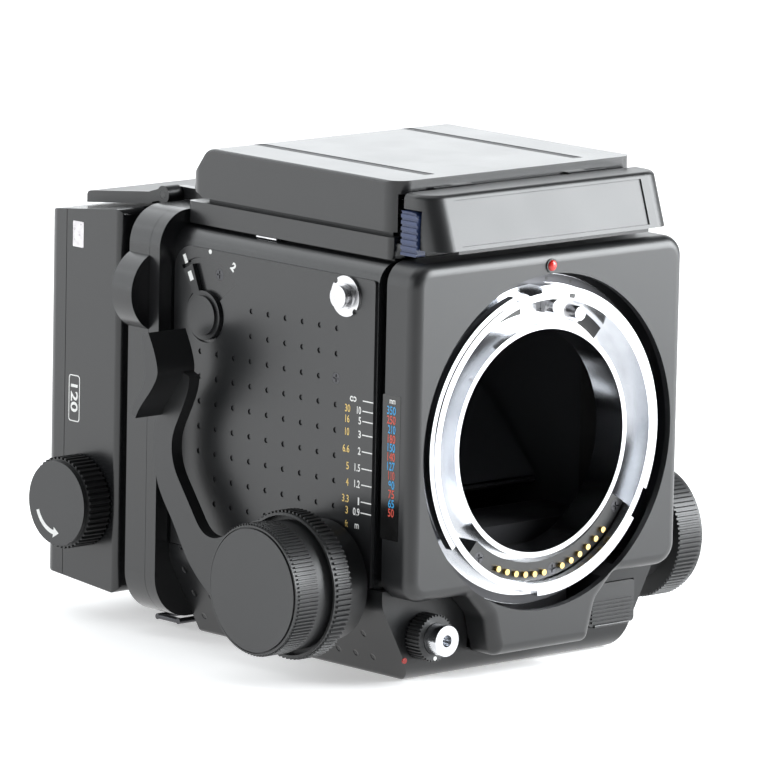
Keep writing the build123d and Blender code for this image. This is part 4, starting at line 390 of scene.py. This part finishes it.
def mesh_object(name, vertices, faces, material, body, smooth=False):
    """A piece from points in millimetres."""
    mesh = bpy.data.meshes.new(name)
    mesh.from_pydata([[c * MM for c in v] for v in vertices], [], faces)
    mesh.materials.append(material)
    for polygon in mesh.polygons:
        polygon.use_smooth = smooth
    piece = bpy.data.objects.new(name, mesh)
    bpy.context.scene.collection.objects.link(piece)
    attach(piece, body)
    return piece


def plane_at(origin, right, up):
    """Turns (across, up, out) on a face into a point; the face looks along right x up."""
    o = Vector(origin)
    r = Vector(right).normalized()
    u = Vector(up).normalized()
    n = r.cross(u)
    return lambda a, b, c=0.0: tuple(o + r * a + u * b + n * c)


def prism(name, outline, place, low, high, material, body):
    """A flat piece with the given outline on a face, from low to high over it."""
    count = len(outline)
    vertices = [place(a, b, low) for a, b in outline] + [place(a, b, high) for a, b in outline]
    faces = [tuple(range(count, 2 * count)), tuple(reversed(range(count)))]
    faces += [(k, (k + 1) % count, count + (k + 1) % count, count + k) for k in range(count)]
    return mesh_object(name, vertices, faces, material, body)


def round_outline(r, at=(0, 0), count=32):
    turns = [2 * pi * k / count for k in range(count)]
    return [(at[0] + r * cos(turn), at[1] + r * sin(turn)) for turn in turns]


def rounded_box(half_a, half_b, r, at=(0, 0), steps=5):
    points = []
    for corner, (sa, sb) in enumerate(((1, 1), (-1, 1), (-1, -1), (1, -1))):
        for k in range(steps + 1):
            turn = pi / 2 * (corner + k / steps)
            a = at[0] + sa * (half_a - r) + r * cos(turn)
            b = at[1] + sb * (half_b - r) + r * sin(turn)
            points.append((a, b))
    return points


def disc(name, place, r, low, high, material, body, at=(0, 0)):
    return prism(name, round_outline(r, at), place, low, high, material, body)


def dome(name, place, r, low, high, material, body, at=(0, 0), count=32, rings=8):
    """A round button with a domed top."""
    vertices = []
    for k in range(rings):
        lean = pi / 2 * k / rings
        level = low + (high - low) * sin(lean)
        vertices += [place(a, b, level) for a, b in round_outline(r * cos(lean), at, count)]
    vertices.append(place(at[0], at[1], high))
    faces = []
    for k in range(rings - 1):
        lower = k * count
        upper = lower + count
        for i in range(count):
            j = (i + 1) % count
            faces.append((lower + i, lower + j, upper + j, upper + i))
    last = (rings - 1) * count
    faces += [(last + i, last + (i + 1) % count, rings * count) for i in range(count)]
    return mesh_object(name, vertices, faces, material, body, smooth=True)


def ring_band(name, place, outer, inner, lift, material, body):
    """A thin outline, such as a printed box."""
    count = len(outer)
    vertices = [place(a, b, lift) for a, b in outer] + [place(a, b, lift) for a, b in inner]
    faces = [(k, (k + 1) % count, count + (k + 1) % count, count + k) for k in range(count)]
    return mesh_object(name, vertices, faces, material, body)


def lettering(name, text, place, at, height, width, material, body, lift=0.03, lean=0.0, weight=0.0):
    """Printed characters of a given height and width, centred on a point of a face."""
    curve = bpy.data.curves.new(name + "_curve", "FONT")
    curve.body = text
    curve.offset = weight
    draft = bpy.data.objects.new(name + "_draft", curve)
    bpy.context.scene.collection.objects.link(draft)
    bpy.context.view_layer.update()
    drawn = bpy.data.meshes.new_from_object(draft)
    bpy.data.objects.remove(draft)
    xs = [v.co.x for v in drawn.vertices]
    ys = [v.co.y for v in drawn.vertices]
    wide = max(xs) - min(xs)
    tall = max(ys) - min(ys)
    vertices = []
    for v in drawn.vertices:
        b = ((v.co.y - min(ys)) / tall - 0.5) * height
        a = ((v.co.x - min(xs)) / wide - 0.5) * width + lean * b
        vertices.append(place(at[0] + a, at[1] + b, lift))
    faces = [tuple(p.vertices) for p in drawn.polygons]
    return mesh_object(name, vertices, faces, material, body)


def tube_between(name, points, r, material, body, closed=False, count=10):
    """A round wire through the given points."""
    curve = bpy.data.curves.new(name, "CURVE")
    curve.dimensions = "3D"
    curve.bevel_depth = r * MM
    curve.bevel_resolution = count // 4
    curve.use_fill_caps = True
    spline = curve.splines.new("POLY")
    spline.points.add(len(points) - 1)
    for point, target in zip(spline.points, points):
        point.co = (*[c * MM for c in target], 1)
    spline.use_cyclic_u = closed
    curve.materials.append(material)
    wire = bpy.data.objects.new(name, curve)
    bpy.context.scene.collection.objects.link(wire)
    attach(wire, body)
    return wire


# Faces that carry print or small pieces: (across, up) in millimetres from the given origin, seen from outside

LEFT_PANEL = plane_at((PANEL_FACE, 0, 0), (0, -1, 0), (0, 0, 1))
FRONT_LEFT = plane_at((FRONT_SIDE, 0, 0), (0, -1, 0), (0, 0, 1))
BACK_LEFT = plane_at((BACK_FACE, 0, 0), (0, -1, 0), (0, 0, 1))
BODY_ROOF = plane_at((0, 0, BODY_TOP), (1, 0, 0), (0, 1, 0))
LID_GROOVES = plane_at((0, 0, GROOVE_FLOOR), (1, 0, 0), (0, 1, 0))
FRONT = plane_at((0, FRONT_FACE, 0), (1, 0, 0), (0, 0, 1))

MOUNT_INDEX = (-0.4, 108.6)
FORMAT_BOX = (-80.5, 59.0)
FIGURE_H = 2.0
FOCAL_H = 2.2
FOCAL_RIGHT = 48.5

METRES = (("∞", 32.6, 75.0), ("10", 34.9, 72.3), ("5", 35.3, 69.6), ("3", 35.3, 66.0), ("2", 35.3, 61.6),
          ("1.5", 34.7, 57.1), ("1.2", 34.7, 52.8), ("1", 35.4, 48.3), ("0.9", 34.6, 45.4))
FEET = (("30", 30.5, 72.3), ("16", 30.5, 69.5), ("10", 30.5, 66.1), ("6.6", 30.2, 61.6), ("5", 30.9, 57.1),
        ("4", 30.9, 52.8), ("3.3", 30.3, 48.4), ("3", 30.9, 45.4))
FOCAL = (("350", 73.9), ("250", 71.4), ("210", 68.9), ("180", 66.4), ("150", 64.1), ("140", 61.7),
         ("127", 59.2), ("110", 56.8), ("90", 54.3), ("75", 51.9), ("65", 49.4), ("50", 47.0))


def digit_width(text, height):
    """Width of condensed figures of a height."""
    narrow = text.count("1") + text.count(".")
    return height * (0.50 * (len(text) - narrow) + 0.28 * narrow)


def distance_scale():
    """White metres and yellow feet on the left side panel, with their index lines."""
    for k, (text, a, b) in enumerate(METRES):
        if text == "∞":
            loops = [(a - 0.55, b), (a + 0.55, b)]
            for side, centre in enumerate(loops):
                outer = round_outline(0.72, centre)
                inner = round_outline(0.36, centre)
                ring_band(f"infinity_{side}", LEFT_PANEL, outer, inner, 0.03, WHITE, "body")
        else:
            width = digit_width(text, FIGURE_H)
            lettering(f"metres_{k}", text, LEFT_PANEL, (a, b), FIGURE_H, width, WHITE, "body", weight=0.02)
        line = [(36.3, b - 0.18), (40.3, b - 0.18), (40.3, b + 0.12), (36.3, b + 0.12)]
        prism(f"distance_line_{k}", line, LEFT_PANEL, 0.01, 0.03, WHITE, "body")
    for k, (text, a, b) in enumerate(FEET):
        width = digit_width(text, FIGURE_H)
        lettering(f"feet_{k}", text, LEFT_PANEL, (a, b), FIGURE_H, width, YELLOW, "body", weight=0.01)
    lettering("metres_unit", "m", LEFT_PANEL, (34.9, 41.6), 1.3, 1.6, WHITE, "body", weight=0.02)
    lettering("feet_unit", "ft", LEFT_PANEL, (30.9, 41.8), 1.8, 1.1, YELLOW, "body", weight=0.01)


def focal_scale():
    """Blue and red focal lengths on a glossy strip along the front panel's left side."""
    strip = rounded_box(3.4, 19.1, 0.4, (46.9, 58.8))
    prism("focal_strip", strip, FRONT_LEFT, 0.0, 0.05, GLOSS_BLACK, "front_standard")
    for k, (text, b) in enumerate(FOCAL):
        width = digit_width(text, FOCAL_H)
        colour = BLUE_PRINT if k % 2 == 0 else RED_PRINT
        centre = (FOCAL_RIGHT - width / 2, b)
        lettering(f"focal_{k}", text, FRONT_LEFT, centre, FOCAL_H, width, colour, "front_standard",
                  lift=0.08, weight=0.01)
    lettering("focal_unit", "mm", FRONT_LEFT, (47.2, 76.2), 1.1, 2.2, WHITE, "front_standard",
              lift=0.08, weight=0.02)


def turned_lettering(name, text, at, angle, size):
    """A white character on the left panel, leaning by an angle; size is its width and height."""
    turn = radians(angle)
    place = plane_at((PANEL_FACE, -at[0], at[1]), (0, -cos(turn), sin(turn)), (0, sin(turn), cos(turn)))
    lettering(name, text, place, (0, 0), size[1], size[0], WHITE, "body", weight=0.05)


def selector_marks():
    """Generic marks round the selector, and the window on its pointer."""
    turned_lettering("selector_one", "1", (-34.4, 103.3), 28, (1.2, 2.5))
    disc("selector_dot", LEFT_PANEL, 0.62, 0.01, 0.04, WHITE, "body", (-24.5, 106.4))
    turned_lettering("selector_two", "2", (-15.2, 103.5), -38, (1.7, 2.5))
    lean = radians(SELECTOR_LEAN)
    centre = Vector((-(SELECTOR_Y + 11.2 * sin(lean)), SELECTOR_Z + 11.2 * cos(lean)))
    along = Vector((-sin(lean), cos(lean)))
    aside = Vector((cos(lean), sin(lean)))
    corners = [centre + along * s * 1.3 + aside * t * 0.75 for s, t in ((-1, -1), (-1, 1), (1, 1), (1, -1))]
    pointer = plane_at((POINTER_FACE, 0, 0), (0, -1, 0), (0, 0, 1))
    prism("pointer_mark", [tuple(c) for c in corners][::-1], pointer, 0.01, 0.04, WHITE, "selector")


def front_marks():
    """Red index of the lens mount with its line, and the release lock's marks."""
    disc("mount_index_cup", FRONT, 1.85, 0.0, 0.35, INSULATOR_AND_SLOT_SHADE, "front_standard", MOUNT_INDEX)
    dome("mount_index", FRONT, 1.45, 0.35, 1.1, RED_DOT, "front_standard", MOUNT_INDEX)
    a, b = MOUNT_INDEX
    stem = [(a - 0.22, b - 2.3), (a + 0.22, b - 2.3), (a + 0.22, b - 1.5), (a - 0.22, b - 1.5)]
    prism("mount_index_line", stem, FRONT, 0.0, 0.04, INSULATOR_AND_SLOT_SHADE, "front_standard")
    base_front = plane_at((0, BASE_FRONT, 0), (1, 0, 0), (0, 0, 1))
    disc("release_lock_mark", base_front, 0.8, -0.2, 0.12, RED_DOT, "body", (-40.6, 6.4))
    collar_front = plane_at((0, COLLAR_FRONT, 0), (1, 0, 0), (0, 0, 1))
    disc("collar_mark", collar_front, 0.55, 0.0, 0.05, WHITE, "release_collar", (RELEASE_X, 7.1))


def back_marks():
    """Bare foil sticker and the boxed format number on the film back."""
    sticker = rounded_box(2.2, 3.5, 0.3, (-79.7, 104.0))
    prism("bare_sticker", sticker, BACK_LEFT, 0.0, 0.05, STICKER, "revolving_back")
    outer = rounded_box(2.3, 6.4, 0.9, FORMAT_BOX)
    inner = rounded_box(2.0, 6.1, 0.7, FORMAT_BOX)
    ring_band("format_box", BACK_LEFT, outer, inner, 0.03, WHITE, "revolving_back")
    sideways = plane_at((BACK_FACE, 0, 0), (0, 0, -1), (0, -1, 0))
    centre = (-FORMAT_BOX[1], FORMAT_BOX[0])
    lettering("format_number", "120", sideways, centre, 2.9, 7.6, WHITE, "revolving_back", weight=0.02)


def wind_arrow():
    """Curved arrow on the film winding knob's face."""
    place = plane_at(WIND_KNOB_FACE, (0, -1, 0), (0, 0, 1))
    start = radians(200)
    end = radians(262)
    steps = 14
    r0 = 7.6
    r1 = 8.8
    turns = [start + (end - start) * k / steps for k in range(steps + 1)]
    outer = [(r1 * cos(turn), r1 * sin(turn)) for turn in turns]
    inner = [(r0 * cos(turn), r0 * sin(turn)) for turn in turns]
    vertices = [place(a, b, 0.03) for a, b in outer + inner]
    faces = [(k + steps + 1, k, k + 1, k + steps + 2) for k in range(steps)]
    tip = end + radians(16)
    middle = (r0 + r1) / 2
    head = [(middle + 1.5) * Vector((cos(end), sin(end))), (middle - 1.5) * Vector((cos(end), sin(end))),
            middle * Vector((cos(tip), sin(tip)))]
    base = len(vertices)
    vertices += [place(p.x, p.y, 0.03) for p in head]
    faces.append((base, base + 2, base + 1))
    mesh_object("wind_arrow", vertices, faces, WHITE, "wind_knob")


def lid_grooves():
    """Matt grey floors of the two grooves in the finder's lid; their grey is painted light on the groove
    floors.
    """
    for side in (-1, 1):
        outline = rounded_box(1.65, 33.9, 1.6, (side * GROOVE_X, -2.0))
        prism(f"lid_groove_{side + 1}", outline, LID_GROOVES, 0.02, 0.38, GROOVE, "hood_lid")


def seam_clip():
    """Bright clip at the foot of the finder, on the body's left edge."""
    prism("seam_clip", rounded_box(0.9, 4.0, 0.3, (-43.5, 8.0)), BODY_ROOF, 0.02, 0.4, STEEL, "body")


# Lens mount details

def mount_details():
    """Index block on the bright mount, and thin black patches of painted shade where the lock pin slot, the
    drive and coupling slots and two small holes are.
    """
    mount = plane_at((0, 0, LENS_Z), (1, 0, 0), (0, 0, 1))

    def polar(r, angle):
        return r * cos(radians(angle)), r * sin(radians(angle))

    def arc_piece(name, r0, r1, start, end, front, back, material, steps=10):
        turns = [start + (end - start) * k / steps for k in range(steps + 1)]
        outline = [polar(r1, t) for t in turns] + [polar(r0, t) for t in reversed(turns)]
        return prism(name, outline, mount, back, front, material, "front_standard")

    arc_piece("index_block", 38.4, 41.6, 86.5, 93.5, 53.9, 46.8, CHROME)
    # Painted shade: thin black patches stand for the lock pin slot and the drive and coupling slots.
    arc_piece("lock_pin_slot_shade", 38.3, 39.5, 76.0, 79.0, 54.04, 53.5, INSULATOR_AND_SLOT_SHADE)
    arc_piece("drive_slot_shade", 33.6, 37.2, 46.0, 60.0, 47.05, 46.6, INSULATOR_AND_SLOT_SHADE)
    arc_piece("coupling_slot_shade", 33.4, 36.8, 96.0, 118.0, 47.05, 46.6, INSULATOR_AND_SLOT_SHADE)
    ring_band("flange_shade", mount, round_outline(43.85, count=96), round_outline(41.6, count=96), 49.03,
              DARK_METAL, "front_standard")
    # Painted shade: small black discs stand for two holes in the flange.
    for k, (r, angle) in enumerate(((42.6, 85.1), (42.6, 73.2))):
        disc(f"mount_hole_shade_{k}", mount, 0.45, 48.9, 49.08, INSULATOR_AND_SLOT_SHADE, "front_standard", polar(r, angle))
    for k, angle in enumerate((140.0, 215.0)):
        disc(f"flange_screw_{k}", mount, 1.0, 46.8, 47.25, STEEL, "front_standard", polar(35.6, angle))


# Soft and springy pieces

def bellows():
    """Pleated cloth between the mirror box and the front standard, folded shut at rest."""
    y0 = -35.1
    y1 = -42.3
    folds = 8
    rows = 2 * folds
    outline_out = rounded_box(34.4, 34.4, 3.0, (0, LENS_Z), 4)
    outline_in = rounded_box(30.7, 30.7, 2.0, (0, LENS_Z), 4)
    count = len(outline_out)
    vertices = []
    for k in range(rows + 1):
        y = y0 + (y1 - y0) * k / rows
        ring = outline_out if k % 2 else outline_in
        vertices += [(a, y, b) for a, b in ring]
    faces = []
    for k in range(rows):
        for i in range(count):
            j = (i + 1) % count
            faces.append((k * count + i, k * count + j, (k + 1) * count + j, (k + 1) * count + i))
    mesh = bpy.data.meshes.new("pleated_bellows")
    mesh.from_pydata([[c * MM for c in v] for v in vertices], [], faces)
    mesh.materials.append(CLOTH)
    piece = bpy.data.objects.new("pleated_bellows", mesh)
    bpy.context.scene.collection.objects.link(piece)
    thick = piece.modifiers.new("cloth", "SOLIDIFY")
    thick.thickness = 0.15 * MM
    thick.offset = 0
    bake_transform(piece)
    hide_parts("bellows")


def release_spring():
    """Coil that returns the release button."""
    turns = 6
    steps = 16 * turns
    front = -41.8
    length = 6.0
    r = 3.05
    points = []
    for k in range(steps + 1):
        a = 2 * pi * turns * k / steps
        along = front + 0.35 + (length - 0.7) * k / steps
        points.append((RELEASE_X + r * cos(a), along, RELEASE_Z + r * sin(a)))
    draft = tube_between("release_coil_draft", points, 0.3, STEEL, "body")
    bpy.context.view_layer.update()
    mesh = bpy.data.meshes.new_from_object(draft)
    bpy.data.objects.remove(draft)
    coil = bpy.data.objects.new("release_coil", mesh)
    bpy.context.scene.collection.objects.link(coil)
    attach(coil, "body")
    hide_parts("release_spring")
    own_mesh(coil)


# Studio

def floor():
    """Pale flat paper under the camera, seen as plain white where no shadow falls."""
    material, tree_nodes, links, shader = node_tree("studio_paper")
    place = tree_nodes.new("ShaderNodeTexCoord").outputs["Object"]
    slow = noise(tree_nodes, links, place, 3.0)
    paper = blended(tree_nodes, links, slow, (0.86, 0.86, 0.86), (0.88, 0.88, 0.88))
    links.new(paper, shader.inputs["Base Color"])
    shader.inputs["Roughness"].default_value = 0.9
    shader.inputs["Specular IOR Level"].default_value = 0.0
    glow = tree_nodes.new("ShaderNodeEmission")
    rays = tree_nodes.new("ShaderNodeLightPath")
    seen = tree_nodes.new("ShaderNodeMath")
    seen.operation = "MULTIPLY_ADD"
    seen.inputs[1].default_value = FLOOR_GLOW
    links.new(rays.outputs["Is Camera Ray"], seen.inputs[0])
    links.new(rays.outputs["Is Glossy Ray"], seen.inputs[2])
    links.new(seen.outputs["Value"], glow.inputs["Strength"])
    both = tree_nodes.new("ShaderNodeAddShader")
    links.new(shader.outputs["BSDF"], both.inputs[0])
    links.new(glow.outputs["Emission"], both.inputs[1])
    links.new(both.outputs["Shader"], tree_nodes["Material Output"].inputs["Surface"])

    half = 6.0
    mesh = bpy.data.meshes.new("studio_floor")
    corners = [(-half, -half, 0), (half, -half, 0), (half, half, 0), (-half, half, 0)]
    mesh.from_pydata(corners, [], [(0, 1, 2, 3)])
    mesh.materials.append(material)
    sheet = bpy.data.objects.new("studio_floor", mesh)
    bpy.context.scene.collection.objects.link(sheet)


def softbox(name, at, size, power, aim=(0, 0, 0.06)):
    light = bpy.data.lights.new(name, "AREA")
    light.shape = "RECTANGLE"
    light.size = size[0]
    light.size_y = size[1]
    light.energy = power
    light.color = LAMP_TINT
    lamp = bpy.data.objects.new(name, light)
    lamp.location = at
    lamp.visible_camera = False
    lamp.rotation_euler = (Vector(aim) - Vector(at)).to_track_quat("-Z", "Y").to_euler()
    bpy.context.scene.collection.objects.link(lamp)


def studio():
    world = bpy.data.worlds.new("studio")
    world.use_nodes = True
    tree_nodes = world.node_tree.nodes
    links = world.node_tree.links
    sky = tree_nodes["Background"]
    sky.inputs["Color"].default_value = (1, 1, 1, 1)
    sky.inputs["Strength"].default_value = 0.10
    bright = tree_nodes.new("ShaderNodeBackground")
    bright.inputs["Color"].default_value = (1, 1, 1, 1)
    bright.inputs["Strength"].default_value = 1.0
    rays = tree_nodes.new("ShaderNodeLightPath")
    mix = tree_nodes.new("ShaderNodeMixShader")
    links.new(rays.outputs["Is Camera Ray"], mix.inputs["Fac"])
    links.new(sky.outputs["Background"], mix.inputs[1])
    links.new(bright.outputs["Background"], mix.inputs[2])
    links.new(mix.outputs["Shader"], tree_nodes["World Output"].inputs["Surface"])
    bpy.context.scene.world = world
    softbox("rear_left_softbox", (-1.2, 1.3, 0.52), (1.8, 1.0), 15)
    softbox("rear_top_softbox", (-0.2, 1.3, 1.3), (1.6, 1.0), 14)
    softbox("left_softbox", (-1.5, 0.1, 0.55), (1.2, 1.0), 8)
    softbox("rear_right_softbox", (1.25, 1.35, 0.70), (2.0, 1.2), 18)
    softbox("front_right_softbox", (0.68, -0.60, 0.37), (0.6, 0.62), 22)
    softbox("top_softbox", (0.0, 0.2, 1.5), (1.2, 1.2), 8)


def camera():
    lens = bpy.data.cameras.new("photograph_view")
    lens.lens = FOCAL_LENGTH
    lens.sensor_width = SENSOR
    lens.clip_end = 50
    eye = bpy.data.objects.new("photograph_view", lens)
    turn = Matrix((CAMERA_RIGHT, CAMERA_UP, CAMERA_BACK)).transposed()
    eye.matrix_world = Matrix.Translation(CAMERA_AT) @ turn.to_4x4()
    bpy.context.scene.collection.objects.link(eye)
    bpy.context.scene.camera = eye


dress_nodes()
distance_scale()
focal_scale()
selector_marks()
front_marks()
back_marks()
wind_arrow()
lid_grooves()
seam_clip()
mount_details()
bellows()
release_spring()
floor()
studio()
camera()
bpy.context.scene.view_settings.view_transform = "Standard"
